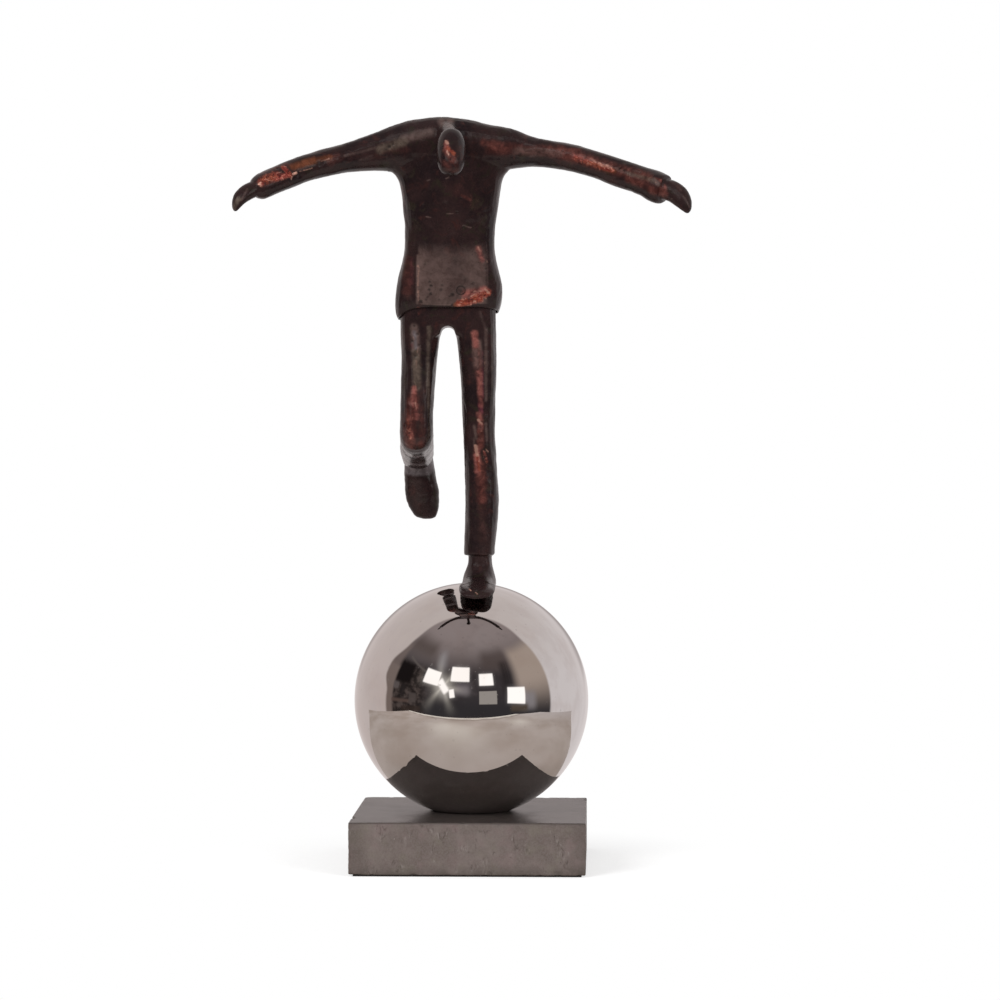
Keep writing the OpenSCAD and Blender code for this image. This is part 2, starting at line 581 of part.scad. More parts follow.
// The same shoe hung from the raised cuff, in shoe widths: out along the shin and up from
// the middle of the cuff for the instep and for the sole, sideways shift, half width.
raised_shoe_table = [
  [-0.048, -0.282, 0.048, 0.287, 0, 0.315], [0.106, -0.314, 0.245, 0.314, 0, 0.335],
  [0.213, -0.367, 0.628, 0.351, 0.005, 0.375], [0.250, -0.426, 0.915, 0.181, 0.016, 0.410],
  [0.261, -0.532, 1.011, -0.191, 0.027, 0.440], [0.271, -0.723, 0.989, -0.670, 0.053, 0.470],
  [0.314, -1.043, 0.963, -1.053, 0.090, 0.488], [0.383, -1.340, 0.952, -1.372, 0.128, 0.462],
  [0.479, -1.574, 0.926, -1.628, 0.165, 0.395], [0.596, -1.745, 0.872, -1.787, 0.207, 0.275],
  [0.686, -1.830, 0.777, -1.846, 0.245, 0.080]
];
cuff_middle = (cuff_ring[0] + cuff_ring[12]) / 2;
raised_shoe_rings = [for (r = smooth_rows(raised_shoe_table, 2)) leg_ring(
  [cuff_middle[1] + r[0] * shoe_w, cuff_middle[2] + r[1] * shoe_w,
   cuff_middle[1] + r[2] * shoe_w, cuff_middle[2] + r[3] * shoe_w,
   cuff_middle[0] + r[4] * shoe_w, r[5] * shoe_w, 2.35], 24)];

module raised_shoe() {
  color(bronze) difference() {
    on_ball() skin(raised_shoe_rings, true);
    at_ring(cuff_ring, pin_d + 2 * bore_gap, pin_l / 2 + end_gap);
  }
}

module figure_stud() { color(steel) stud(stud_d, 0); }

/* Ball: two pressed halves welded at the equator, with a threaded boss at each end. */

module half_shell() {
  rotate_extrude() intersection() {
    difference() {
      circle(r = ball_r);
      circle(r = ball_r - ball_wall);
    }
    square(ball_r + 1);
  }
}

module ball_upper_half() {
  color(steel) difference() {
    translate([0, 0, ball_z]) half_shell();
    stud(stud_d + 2 * bore_gap, end_gap);
  }
}

module ball_lower_half() {
  color(steel) difference() {
    translate([0, 0, ball_z]) mirror([0, 0, 1]) half_shell();
    translate([0, 0, felt_t]) cylinder(d = bolt_d + 2 * bore_gap, h = plinth_h + boss_t);
  }
}

module upper_boss() {
  color(steel) difference() {
    intersection() {
      translate([foot_x, foot_y, figure_z - ball_wall - boss_t])
        cylinder(d = boss_d, h = boss_t + 1);
      translate([0, 0, ball_z]) sphere(r = ball_r - ball_wall);
    }
    stud(stud_d + 2 * bore_gap, end_gap);
  }
}

module lower_boss() {
  color(steel) difference() {
    intersection() {
      translate([0, 0, ball_z - ball_r]) cylinder(d = boss_d, h = boss_t + ball_wall);
      translate([0, 0, ball_z]) sphere(r = ball_r - ball_wall);
    }
    translate([0, 0, felt_t]) cylinder(d = bolt_d + 2 * bore_gap, h = plinth_h + 2 * boss_t);
  }
}

/* Plinth: honed stone block with a round seat above and a bolt recess below. */

module plinth() {
  color(stone) difference() {
    translate([0, 0, felt_t]) intersection() {
      translate([0, 0, plinth_h / 2]) cube([plinth_side, plinth_side, plinth_h], center = true);
      translate([0, 0, plinth_h / 2]) rotate([90, 0, 0]) linear_extrude(plinth_side + 2,
        center = true) arris_outline(plinth_side, plinth_h);
      translate([0, 0, plinth_h / 2]) rotate([90, 0, 90]) linear_extrude(plinth_side + 2,
        center = true) arris_outline(plinth_side, plinth_h);
      linear_extrude(plinth_h) arris_outline(plinth_side, plinth_side);
    }
    translate([0, 0, ball_z]) sphere(r = ball_r + seat_gap);
    translate([0, 0, felt_t - 1]) cylinder(d = recess_d, h = recess_h + 1);
    translate([0, 0, felt_t]) cylinder(d = bolt_d + 2 * stone_gap, h = plinth_h + 1);
  }
}

// A rectangle with its corners cut off by the arris.
module arris_outline(w, h) {
  a = arris;
  polygon([[w / 2 - a, h / 2], [w / 2, h / 2 - a], [w / 2, a - h / 2], [w / 2 - a, -h / 2],
    [a - w / 2, -h / 2], [-w / 2, a - h / 2], [-w / 2, h / 2 - a], [a - w / 2, h / 2]]);
}

module base_felt() {
  side = plinth_side - 2 * felt_inset;
  color([0.1, 0.1, 0.1]) translate([0, 0, felt_t / 2]) cube([side, side, felt_t], center = true);
}

module base_washer() {
  color(steel) translate([0, 0, felt_t + recess_h - washer_t]) difference() {
    cylinder(d = 2 * bolt_d, h = washer_t);
    translate([0, 0, -1]) cylinder(d = bolt_d + 2 * washer_gap, h = washer_t + 2);
  }
}

// Split ring, its gap cut at the side.
module spring_washer() {
  z = felt_t + recess_h - washer_t - spring_t;
  color(steel) translate([0, 0, z]) difference() {
    cylinder(d = 1.8 * bolt_d, h = spring_t);
    translate([0, 0, -1]) cylinder(d = bolt_d + 2 * bore_gap, h = spring_t + 2);
    translate([0, 0, spring_t / 2]) rotate([25, 0, 0]) translate([bolt_d, 0, 0])
      cube([bolt_d, spring_t / 2, 3 * spring_t], center = true);
  }
}

module base_bolt() {
  z = felt_t + recess_h - washer_t - spring_t;
  color(steel) union() {
    translate([0, 0, z - head_t]) cylinder(d = 1.85 * bolt_d, h = head_t, $fn = 6);
    translate([0, 0, z - head_t / 2]) cylinder(d = bolt_d, h = bolt_l + head_t / 2);
  }
}

base_felt();
plinth();
base_bolt();
spring_washer();
base_washer();
lower_boss();
ball_lower_half();
ball_upper_half();
upper_boss();
figure_stud();
standing_shoe();
standing_leg();
trouser_seat();
raised_thigh();
raised_shin();
raised_shoe();
jacket();
head();
right_sleeve();
left_sleeve();
right_hand();
left_hand();
standing_hip_dowel();
raised_hip_dowel();
right_waist_dowel();
left_waist_dowel();
right_shoulder_dowel();
left_shoulder_dowel();
right_wrist_pin();
left_wrist_pin();
knee_pin();
raised_ankle_pin();
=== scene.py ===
# %% [markdown]
# # Balancing figure ornament
# A small cast bronze figure stands on one leg on a mirror-polished steel ball, and the ball
# rests in a round seat in a square stone plinth. The CAD model gives the sizes and the
# places of all pieces. This lesson dresses it: smooth spun shells for the ball, a chipped
# and pitted stone, felt under it, and one continuous bronze skin with the dents, pits and
# rubbed places that a chased casting has, cut back into its cast pieces at the seams.

# %% The frame
import math
import bmesh
import bpy
import numpy as np
from mathutils import Matrix, Vector, noise


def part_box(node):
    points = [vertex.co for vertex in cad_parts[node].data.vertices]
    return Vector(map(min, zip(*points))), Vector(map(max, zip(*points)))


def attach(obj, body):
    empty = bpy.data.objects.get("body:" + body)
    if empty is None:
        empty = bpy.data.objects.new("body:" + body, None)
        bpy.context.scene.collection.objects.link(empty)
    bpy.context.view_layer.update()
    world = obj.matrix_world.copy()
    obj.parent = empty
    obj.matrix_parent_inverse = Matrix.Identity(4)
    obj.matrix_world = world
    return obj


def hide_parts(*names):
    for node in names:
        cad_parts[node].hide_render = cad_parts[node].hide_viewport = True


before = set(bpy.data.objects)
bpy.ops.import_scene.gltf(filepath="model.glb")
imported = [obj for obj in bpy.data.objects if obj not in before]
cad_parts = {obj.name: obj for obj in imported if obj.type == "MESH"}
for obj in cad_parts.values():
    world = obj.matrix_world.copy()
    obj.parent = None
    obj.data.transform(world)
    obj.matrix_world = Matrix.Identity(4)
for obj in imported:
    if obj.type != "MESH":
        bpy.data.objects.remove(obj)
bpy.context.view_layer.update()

MM = 0.001

# %% [markdown]
# ## Camera
# The picture was taken from about 1.7 m away with a long lens, with the camera a little
# above the middle of the ornament and a little to its left-hand side. A long lens keeps the
# verticals parallel, so the camera is simply turned a degree or two towards the object.

# %% Camera
camera_place = Vector((67, -1684, 217)) * MM
lens_pixels = 3285
frame_pixels = 1000
middle_line = Vector((-0.03107, 1, -0.01828))

camera_data = bpy.data.cameras.new("camera")
camera_data.sensor_width = 36
camera_data.lens = lens_pixels * camera_data.sensor_width / frame_pixels
camera_data.clip_start, camera_data.clip_end = 0.1, 50
camera = bpy.data.objects.new("camera", camera_data)
camera.location = camera_place
camera.rotation_euler = middle_line.to_track_quat("-Z", "Y").to_euler()
bpy.context.scene.collection.objects.link(camera)
bpy.context.scene.camera = camera
bpy.context.scene.view_settings.view_transform = "Standard"
print("lens:", round(camera_data.lens, 1), "mm")

# %% [markdown]
# ## Helpers
# Shader trees are built from a few small helpers. They put their nodes into the tree that is
# called `tree` at the time. Some stand for a Math node, so that `times`, `scaled` and `larger`
# read like a formula, and `over` lays one tone over another.

# %% Node helpers
def add(kind, inputs=None, **settings):
    made = tree.nodes.new("ShaderNode" + kind)
    for key, value in settings.items():
        setattr(made, key, value)
    for key, value in (inputs or {}).items():
        put(value, made.inputs[key])
    return made


def put(value, socket):
    """Links a socket or a node's first output into the socket, or sets a plain value."""
    if isinstance(value, bpy.types.Node):
        value = value.outputs[0]
    if isinstance(value, bpy.types.NodeSocket):
        tree.links.new(value, socket)
    elif socket.type == "RGBA":
        socket.default_value = (*value, 1)
    else:
        socket.default_value = value


def calc(operation, *values, clamp=False):
    return add("Math", dict(enumerate(values)), operation=operation, use_clamp=clamp)


# %% Formula helpers
def times(first, *others):
    for value in others:
        first = calc("MULTIPLY", first, value)
    return first


def scaled(value, factor, plus):
    return calc("MULTIPLY_ADD", value, factor, plus)


def larger(a, b):
    return calc("MAXIMUM", a, b)


def ramp(value, low, high, out_low=0.0, out_high=1.0):
    """Turns a value between low and high smoothly into one between out_low and out_high."""
    return add("MapRange", {"Value": value, "From Min": low, "From Max": high,
                            "To Min": out_low, "To Max": out_high},
               interpolation_type="SMOOTHSTEP")


# %% Pattern and colour helpers
def noisy(place, scale, detail, roughness=0.5, distortion=0.0):
    return add("TexNoise", {"Vector": place, "Scale": scale, "Detail": detail,
                            "Roughness": roughness, "Distortion": distortion})


def mix(share, below, tone, blend="MIX"):
    made = add("Mix", data_type="RGBA", blend_type=blend)
    for value, index in ((share, 0), (below, 6), (tone, 7)):
        put(value, made.inputs[index])
    return made.outputs[2]


def over(below, mask, tone, amount=1.0):
    """Lays a tone over another where the mask is."""
    return mix(mask if amount == 1 else times(mask, amount), below, tone)


# %% [markdown]
# ## Surroundings
# A mirror ball shows the whole studio. Behind and above the ornament stands a white paper
# sweep, and in front of it lies a dim room with a few bright windows, a lamp and a brown
# wall at the side. The world's shader draws that room by the direction of a reflected ray,
# as bearing and height in degrees. The camera itself sees plain white, and the light that
# falls on the object is an even pale grey.

# %% World
world = bpy.data.worlds.new("studio")
bpy.context.scene.world = world
world.use_nodes = True
world.cycles.sampling_method = "NONE"
tree = world.node_tree
tree.nodes.clear()

directions = add("TexCoord").outputs["Generated"]
ray_x, ray_y, ray_z = add("SeparateXYZ", {0: directions}).outputs
bearing = calc("DEGREES", calc("ARCTAN2", ray_x, times(ray_y, -1)))
height = calc("DEGREES", calc("ARCSINE", ray_z))


def pane(centre, size, lean=0.0, soft=1.0):
    """Mask of a window pane in the room, in degrees; lean turns it in its wall."""
    c, s = math.cos(math.radians(lean)), math.sin(math.radians(lean))
    across = calc("SUBTRACT", bearing, centre[0])
    up = calc("SUBTRACT", height, centre[1])
    u = scaled(across, c, times(up, s))
    v = scaled(across, -s, times(up, c))
    return times(*(ramp(calc("ABSOLUTE", w), half + soft / 2, half - soft / 2)
                   for w, half in ((u, size[0] / 2), (v, size[1] / 2))))


blotches = noisy(directions, 5, 4, 0.6)
shelves = noisy(add("CombineXYZ", {0: times(bearing, 0.16), 1: times(height, 0.2)}), 1, 2, 0.6)
strips = noisy(add("CombineXYZ", {0: times(bearing, 0.7)}), 1, 2)

print("nodes for the directions:", len(tree.nodes))

# %% Dark room
# The room is dark, with a pale ceiling, a wall and a curtain at the right, shelves at the left.
ceiling = ramp(ray_z, 0.42, 0.95)
room = mix(ceiling, (0.060, 0.052, 0.055), (0.36, 0.305, 0.30))
room = over(room, ramp(blotches, 0.5, 0.7), (0.22, 0.19, 0.19), 0.25)
room = over(room, ramp(ray_z, 0.22, -0.1), (0.045, 0.042, 0.046))
room = over(room, pane((30, 42), (34, 18), soft=14), (0.11, 0.085, 0.08), 0.8)
right_wall = times(ramp(bearing, 43, 56), ramp(height, -10, 22), ramp(height, 54, 42))
room = over(room, right_wall, (0.52, 0.43, 0.37))
room = over(room, pane((60, 2), (16, 14), soft=9), (0.36, 0.34, 0.36), 0.8)
curtain = times(pane((39, 24), (10, 30), soft=7), ramp(strips, 0.3, 0.6, 0.5, 1.0))
room = over(room, curtain, (0.03, 0.025, 0.025), 0.75)
left_tone = mix(ramp(shelves, 0.38, 0.7), (0.030, 0.024, 0.023), (0.115, 0.092, 0.085))
room = over(room, times(ramp(bearing, -38, -54), ramp(height, 36, 26)), left_tone)
# Things in the room: centre, size, lean, softness, tone, amount.
for centre, size, lean, soft, tone, amount in (
        ((-74, 23), (24, 17), 0, 5, (0.014, 0.011, 0.011), 1),
        ((-61, 32), (28, 1.6), -18, 2, (0.17, 0.15, 0.14), 0.8),
        ((-92, 8), (20, 36), 0, 4, (0.25, 0.20, 0.18), 1),
        ((-66, 48), (40, 14), 0, 14, (0.10, 0.075, 0.066), 0.7),
        ((-100, 34), (34, 20), 0, 7, (0.25, 0.20, 0.185), 0.8),
        ((-79, 12), (7, 5), 0, 2, (0.16, 0.14, 0.14), 0.8),
        ((-70, 9), (5, 9), 0, 2, (0.03, 0.025, 0.025), 0.8),
        ((-72, 1), (22, 2.5), 0, 2, (0.15, 0.105, 0.09), 0.8),
        ((-58, 4), (8, 8), 0, 2, (0.12, 0.10, 0.095), 0.8),
        ((-60, -5), (22, 4), 0, 2, (0.05, 0.036, 0.030), 0.8),
        ((-33, 40), (8, 18), 12, 12, (0.46, 0.45, 0.47), 0.7),
        ((-7, 14), (15, 10), 0, 8, (0.25, 0.225, 0.25), 0.8),
        ((50, -4), (18, 6), 0, 5, (0.11, 0.085, 0.065), 1),
        ((18.6, 6), (17.5, 12.5), 0, 1, (0.44, 0.41, 0.38), 1)):
    room = over(room, pane(centre, size, lean, soft), tone, amount)
print("nodes with the room:", len(tree.nodes))

# %% Lit lamp and windows
def burst(centre, radius, rays, turn):
    """Glare round a lamp: a soft glow with rays in it."""
    across = calc("SUBTRACT", bearing, centre[0])
    up = calc("SUBTRACT", height, centre[1])
    far = calc("SQRT", scaled(across, across, times(up, up)))
    angle = scaled(calc("ARCTAN2", up, across), rays, turn)
    spikes = calc("POWER", calc("ABSOLUTE", calc("COSINE", angle)), 6.0)
    glow = calc("POWER", ramp(far, radius, 0), 3.0)
    reach = ramp(far, radius * 1.3, 2)
    return scaled(times(spikes, reach), 0.45, glow)


# The bare lamp and the windows are lit, and each has a halo.
lamp = (-26.6, 16.4)
room = over(room, burst(lamp, 26, 3, 0.5), (1.0, 0.96, 0.86), 0.75)
lit, halo = pane(lamp, (6.5, 14), 38, soft=3), pane(lamp, (12, 24), 38, soft=9)
for place, size, lean in (((-39.5, 24), (17, 13), -8), ((-9.6, 28.6), (19.5, 14), 0),
                          ((17.5, 23.4), (14.6, 11.4), 0), ((47.3, 7), (18.5, 14.6), -4),
                          ((-17.2, 9.9), (5.0, 8.0), 10)):
    lit = larger(lit, pane(place, size, lean, soft=1.6))
    halo = larger(halo, pane(place, size, lean, soft=9))
window_light = 1.7
bright = mix(1.0, (window_light,) * 3, (1.0, 0.985, 0.96), "MULTIPLY")
room = over(room, halo, (0.62, 0.61, 0.62), 0.28)
room = mix(lit, room, bright)
print("nodes with the windows:", len(tree.nodes))

# %% Paper sweep
# A sweep of paper covers the back and the top, and its edge bulges out at the left.
sweep_edge = scaled(ray_x, 0.035, ray_y)
sweep_edge = scaled(ramp(ray_z, 0.75, 1.0), -0.09, sweep_edge)
bulge = times(ramp(ray_z, 0.1, 0.3), ramp(ray_z, 0.66, 0.4))
bulge = times(bulge, ramp(ray_x, -0.45, -0.8))
sweep_edge = scaled(bulge, -0.11, sweep_edge)
sweep_edge = ramp(sweep_edge, -0.06, 0.0)
paper = mix(ramp(ray_x, -0.9, 0.9), (0.75, 0.665, 0.64), (0.885, 0.84, 0.845))
paper = over(paper, ramp(ray_z, 0.2, 0.9), (0.70, 0.63, 0.59), 0.5)
paper = over(paper, ramp(blotches, 0.42, 0.66), (0.68, 0.61, 0.60), 0.3)
low_band = times(ramp(ray_y, 0.86, 0.99), ramp(ray_z, -0.04, 0.06), ramp(ray_z, 0.33, 0.13))
paper = over(paper, low_band, (0.30, 0.26, 0.255), 0.75)
reflected = mix(sweep_edge, room, paper)
print("nodes with the sweep:", len(tree.nodes))

# %% What each ray sees
path = add("LightPath").outputs
even, white = [add("Background", {"Color": (1, 1, 1), "Strength": strength})
               for strength in (0.36, 1.0)]
shiny = add("Background", {"Color": reflected, "Strength": 1.0})
mirrored = larger(path["Is Glossy Ray"], path["Is Transmission Ray"])
for_rays = add("MixShader", {0: mirrored, 1: even, 2: shiny})
seen = add("MixShader", {0: path["Is Camera Ray"], 1: for_rays, 2: white})
add("OutputWorld", {"Surface": seen})
print("world nodes:", len(tree.nodes))

# %% [markdown]
# ## Lamps and table
# Two large soft lamps stand in front at both sides, about as high as the windows. They light
# stone and patina, but the metal mirrors only the studio, so they are hidden from
# reflections. The floor is a sheet that the camera sees as white, with the ornament's soft
# shadow. All other rays see only the board on it, which ends 39 cm in front of the ball and
# just behind the plinth, as its edges in the mirror show.

# %% Lamps
def soft_lamp(name, place, watts):
    """A round lamp 90 cm wide that is aimed at the ornament's lower half."""
    data = bpy.data.lights.new(name, "AREA")
    data.shape, data.size, data.energy = "DISK", 0.9, watts
    made = bpy.data.objects.new(name, data)
    made.location = place
    aim = Vector((0, 0, 0.15)) - Vector(place)
    made.rotation_euler = aim.to_track_quat("-Z", "Y").to_euler()
    made.visible_glossy = made.visible_camera = False
    bpy.context.scene.collection.objects.link(made)
    print(f"{name}: {watts} W at {place} m")


soft_lamp("lamp_left", (-1.0, -1.5, 0.95), 17)
soft_lamp("lamp_right", (1.25, -1.4, 0.6), 12)

# %% Object helper
def new_object(name, bm):
    """Puts an object into the scene with the bmesh as its mesh."""
    data = bpy.data.meshes.new(name)
    bm.to_mesh(data)
    bm.free()
    made = bpy.data.objects.new(name, data)
    bpy.context.scene.collection.objects.link(made)
    return made


# %% Table sheet
sheet = bmesh.new()
bmesh.ops.create_grid(sheet, x_segments=1, y_segments=1, size=2.2)
table = new_object("table", sheet)
print("table sheet faces:", len(table.data.polygons))

# %% Board and shadow
paint = bpy.data.materials.new("table_paint")
paint.use_nodes = True
tree = paint.node_tree
tree.nodes.clear()
place = add("TexCoord").outputs["Object"]
board_left, board_right, board_front, board_back = -0.62, 0.57, -0.392, 0.085
rim = 0.003
# The board has three painted pools of window light, a paler right side, and a dark and a pale
# strip in front.
board = mix(ramp(noisy(place, 7, 3), 0.3, 0.7), (0.56, 0.475, 0.42), (0.70, 0.62, 0.575))
for spot, size in (((-0.10, -0.235, 0), 0.10), ((-0.03, -0.20, 0), 0.12),
                   ((0.229, -0.213, 0), 0.09)):
    far = add("VectorMath", {0: place, 1: spot}, operation="DISTANCE").outputs["Value"]
    board = over(board, ramp(far, size, 0), (1.0, 0.94, 0.86), 0.6)
wide, depth, _ = add("SeparateXYZ", {0: place}).outputs
back_edge = scaled(times(wide, wide), 0.55, board_back)
front_edge = scaled(larger(calc("SUBTRACT", wide, 0.36), 0.0), 0.9, board_front)
on_board = times(ramp(wide, board_left, board_left + rim),
                 ramp(wide, board_right, board_right - rim),
                 ramp(calc("SUBTRACT", back_edge, depth), 0.0, rim),
                 ramp(calc("SUBTRACT", depth, front_edge), 0.0, rim))
board = over(board, ramp(wide, 0.22, 0.55), (0.76, 0.70, 0.69), 0.75)
depth = scaled(noisy(place, 14, 1), 0.05, calc("ADD", depth, -0.025))
board = over(board, ramp(depth, -0.320, -0.345), (0.30, 0.25, 0.22), 0.5)
board = over(board, ramp(depth, -0.350, -0.362), (0.92, 0.86, 0.78))
# The board also glows faintly in its own colour: painted light that brightens it in the mirror.
matt = add("AddShader", {0: add("BsdfDiffuse", {"Color": board}),
                         1: add("Emission", {"Color": board, "Strength": 0.26})})
lift, white = [add("Emission", {"Color": (1, 1, 1), "Strength": strength})
               for strength in (0.56, 1.0)]
near = add("AddShader", {0: add("BsdfDiffuse", {"Color": (0.80, 0.80, 0.80)}), 1: lift})
far = add("VectorMath", {0: place}, operation="LENGTH").outputs["Value"]
seen = add("MixShader", {0: ramp(far, 0.075, 0.16), 1: near, 2: white})
board_only = add("MixShader", {0: on_board, 1: add("BsdfTransparent"), 2: matt})
both = add("MixShader", {0: add("LightPath").outputs["Is Camera Ray"],
                         1: board_only, 2: seen})
add("OutputMaterial", {"Surface": both})
table.data.materials.append(paint)
print("table_paint nodes:", len(tree.nodes))
print("the board reaches from", board_left, "to", board_right, "m")

# %% [markdown]
# ## Making and placing pieces
# Every piece ends as an object at the origin with its place in its mesh, as the CAD nodes
# have. This helper turns a finished bmesh into such a piece, gives it its material, lets it
# ride on the one body, and hides the CAD nodes that it stands for.

# %% Piece helper
def make_piece(name, bm, slot, material, *nodes):
    made = new_object(name, bm)
    made.data.materials.clear()
    made.data.materials.append(material)
    made.data.shade_smooth()
    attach(made, "root")
    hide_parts(*nodes)
    made.data.calc_loop_triangles()
    print(f"{name}: {len(made.data.loop_triangles)} triangles")
    return made


# %% [markdown]
# ## Shared surface effects
# Two effects are used by more than one finish, so each is a node group. The first is a fine
# speckle of round specks of mixed size, which makes pits in stone and casting skin. The
# second is faint handling: wiped streaks and soft smudges that change the roughness.

# %% Effect helper
def effect(name, inputs, outputs):
    group = bpy.data.node_groups.new(name, "ShaderNodeTree")
    for title, start in inputs.items():
        kind = "NodeSocketVector" if start is None else "NodeSocketFloat"
        socket = group.interface.new_socket(title, in_out="INPUT", socket_type=kind)
        if start is not None:
            socket.default_value = start
    for title in outputs:
        group.interface.new_socket(title, in_out="OUTPUT", socket_type="NodeSocketFloat")
    given = group.nodes.new("NodeGroupInput").outputs
    return group, given, group.nodes.new("NodeGroupOutput").inputs


# %% Speckle group
tree, given, out = effect("speckle", {
    "Place": None, "Size": 0.001, "Amount": 0.4, "Softness": 0.15}, ["Mask"])
cells = add("TexVoronoi", {"Vector": given["Place"], "Scale": calc("DIVIDE", 1.0, given["Size"])})
keep = add("SeparateColor", {0: cells.outputs["Color"]})
sparse = calc("SUBTRACT", 1.0, given["Amount"])
reach = times(calc("SUBTRACT", keep.outputs["Red"], sparse, clamp=True), 1.6)
spot = ramp(cells.outputs["Distance"], reach, calc("SUBTRACT", reach, given["Softness"]))
put(times(spot, ramp(reach, 0.0, 0.05)), out["Mask"])
speckle = tree
print("group speckle:", len(tree.nodes), "nodes")

# %% Handling group
tree, given, out = effect("handling", {
    "Place": None, "Streak length": 0.03, "Smudge size": 0.02}, ["Streaks", "Smudges"])
smudges = noisy(given["Place"], calc("DIVIDE", 1.0, given["Smudge size"]), 3, 0.55, 0.4)
stretched = add("VectorMath", {0: given["Place"], 1: (1, 1, 14)}, operation="MULTIPLY")
streaks = noisy(stretched, calc("DIVIDE", 1.0, given["Streak length"]), 4, 0.65)
put(ramp(smudges, 0.42, 0.68), out["Smudges"])
put(ramp(streaks, 0.45, 0.7), out["Streaks"])
handling = tree
print("group handling:", len(tree.nodes), "nodes")

# %% [markdown]
# ## Mirror-polished ball
# The ball is pressed in two halves that are welded and ground at the equator. A sphere with
# many rings is cut in two, a round hole is left at the pole for the stud or the bolt, and
# solidify gives the steel its 1 mm wall. The steel is almost a perfect mirror, with only
# faint wiping marks and dust.

# %% Finish helpers
def principled(name, **inputs):
    """A new material with one Principled shader; returns it with its tree and sockets."""
    made = bpy.data.materials.new(name)
    made.use_nodes = True
    sockets = made.node_tree.nodes["Principled BSDF"].inputs
    for key, value in inputs.items():
        sockets[key.replace("_", " ")].default_value = value
    return made, made.node_tree, sockets


def use(group, **inputs):
    made = add("Group", node_tree=group)
    for key, value in inputs.items():
        put(value, made.inputs[key.replace("_", " ")])
    return made.outputs


# %% Ball finish
steel_mirror, tree, shader = principled(
    "steel_mirror", Base_Color=(0.60, 0.57, 0.56, 1), Metallic=1.0, Roughness=0.02)
place = add("TexCoord").outputs["Object"]
wiped = use(handling, Place=place, Streak_length=0.05, Smudge_size=0.025)
dust = use(speckle, Place=place, Size=0.0022, Amount=0.2, Softness=0.05)["Mask"]
haze = scaled(wiped["Smudges"], 0.025, 0.012)
haze = scaled(wiped["Streaks"], 0.012, haze)
put(scaled(dust, 0.12, haze), shader["Roughness"])
tint = mix(wiped["Smudges"], (0.61, 0.585, 0.575), (0.585, 0.55, 0.535))
put(over(tint, dust, (0.42, 0.40, 0.39), 0.25), shader["Base Color"])
put(add("Bump", {"Height": noisy(place, 26, 1), "Strength": 0.06, "Distance": 0.0004}),
    shader["Normal"])
print("steel_mirror nodes:", len(tree.nodes))

# %% Ball halves
ball_middle = Vector((0, 0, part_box("ball_upper_half")[0].z))
ball_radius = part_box("ball_upper_half")[1].x
ball_wall = 0.001
stud_hole, bolt_hole = 0.0032, 0.0042
print("ball radius in mm:", round(ball_radius / MM, 2))


def half_shell(pole, hole_radius, side):
    """Half of a hollow sphere whose pole, with its hole, lies at the given point."""
    bm = bmesh.new()
    turn = (pole - ball_middle).to_track_quat("Z", "X").to_matrix().to_4x4()
    bmesh.ops.create_uvsphere(bm, u_segments=240, v_segments=160, radius=ball_radius,
                              matrix=Matrix.Translation(ball_middle) @ turn)
    axis = (pole - ball_middle).normalized()
    near = [v for v in bm.verts if (v.co - ball_middle).dot(axis) > 0
            and (v.co - ball_middle).cross(axis).length < hole_radius]
    bmesh.ops.delete(bm, geom=near, context="VERTS")
    bmesh.ops.bisect_plane(
        bm, geom=bm.verts[:] + bm.edges[:] + bm.faces[:], dist=1e-6,
        plane_co=ball_middle, plane_no=Vector((0, 0, side)), clear_inner=True)
    bmesh.ops.recalc_face_normals(bm, faces=bm.faces)
    if sum(f.normal.dot(f.calc_center_median() - ball_middle) for f in bm.faces) < 0:
        bmesh.ops.reverse_faces(bm, faces=bm.faces)
    bmesh.ops.solidify(bm, geom=bm.faces[:], thickness=ball_wall)
    return bm


# %% Ball shells
def corner_vertices(data):
    """The number of the vertex at each face corner."""
    corners = np.empty(len(data.loops), int)
    data.loops.foreach_get("vertex_index", corners)
    return corners


def round_normals(data):
    """Gives the wall of a shell the normals of a true sphere, so no facet shows in it."""
    places = np.array([v.co - ball_middle for v in data.vertices])
    outward = (places / np.linalg.norm(places, axis=1)[:, None])[corner_vertices(data)]
    normals = outward.copy()
    for face in data.polygons:
        own = list(face.loop_indices)
        side = face.normal.dot(Vector(outward[own[0]]))
        normals[own] = outward[own] * np.sign(side) if abs(side) > 0.9 else face.normal
    data.normals_split_custom_set(normals)


def box_middle(node):
    low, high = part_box(node)
    return (low + high) / 2


stud_pole = box_middle("figure_stud")
stud_pole.z = ball_middle.z + math.sqrt(ball_radius**2 - stud_pole.x**2 - stud_pole.y**2)
bolt_pole = ball_middle - Vector((0, 0, ball_radius))
for half, pole, hole, side in (("upper", stud_pole, stud_hole, 1),
                               ("lower", bolt_pole, bolt_hole, -1)):
    shell = make_piece(f"ball_{half}_shell", half_shell(pole, hole, side),
                       "polished_steel", steel_mirror, f"ball_{half}_half")
    round_normals(shell.data)

# %% [markdown]
# ## Stone plinth
# The plinth is a honed block of taupe stone with its arrises just broken. It starts as a
# cube, gets its narrow bevel, and is divided finely enough to carry chipped edges and open
# pits as real shape. Boolean modifiers then cut the ball's round seat, the bolt's hole and
# the recess for the bolt's head.

# %% Stone patterns
stone_low, stone_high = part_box("plinth")
stone, tree, shader = principled(
    "taupe_stone", Base_Color=(0.165, 0.136, 0.127, 1), Roughness=0.5, Specular_IOR_Level=0.3)
place = add("TexCoord").outputs["Object"]
across, _, up = add("SeparateXYZ", {0: place}).outputs
top = ramp(up, stone_high.z - 0.0012, stone_high.z - 0.0002)
foot = ramp(up, stone_low.z + 0.006, stone_low.z)
side = larger(ramp(across, stone_low.x + 0.012, stone_low.x),
              ramp(across, stone_high.x - 0.012, stone_high.x))


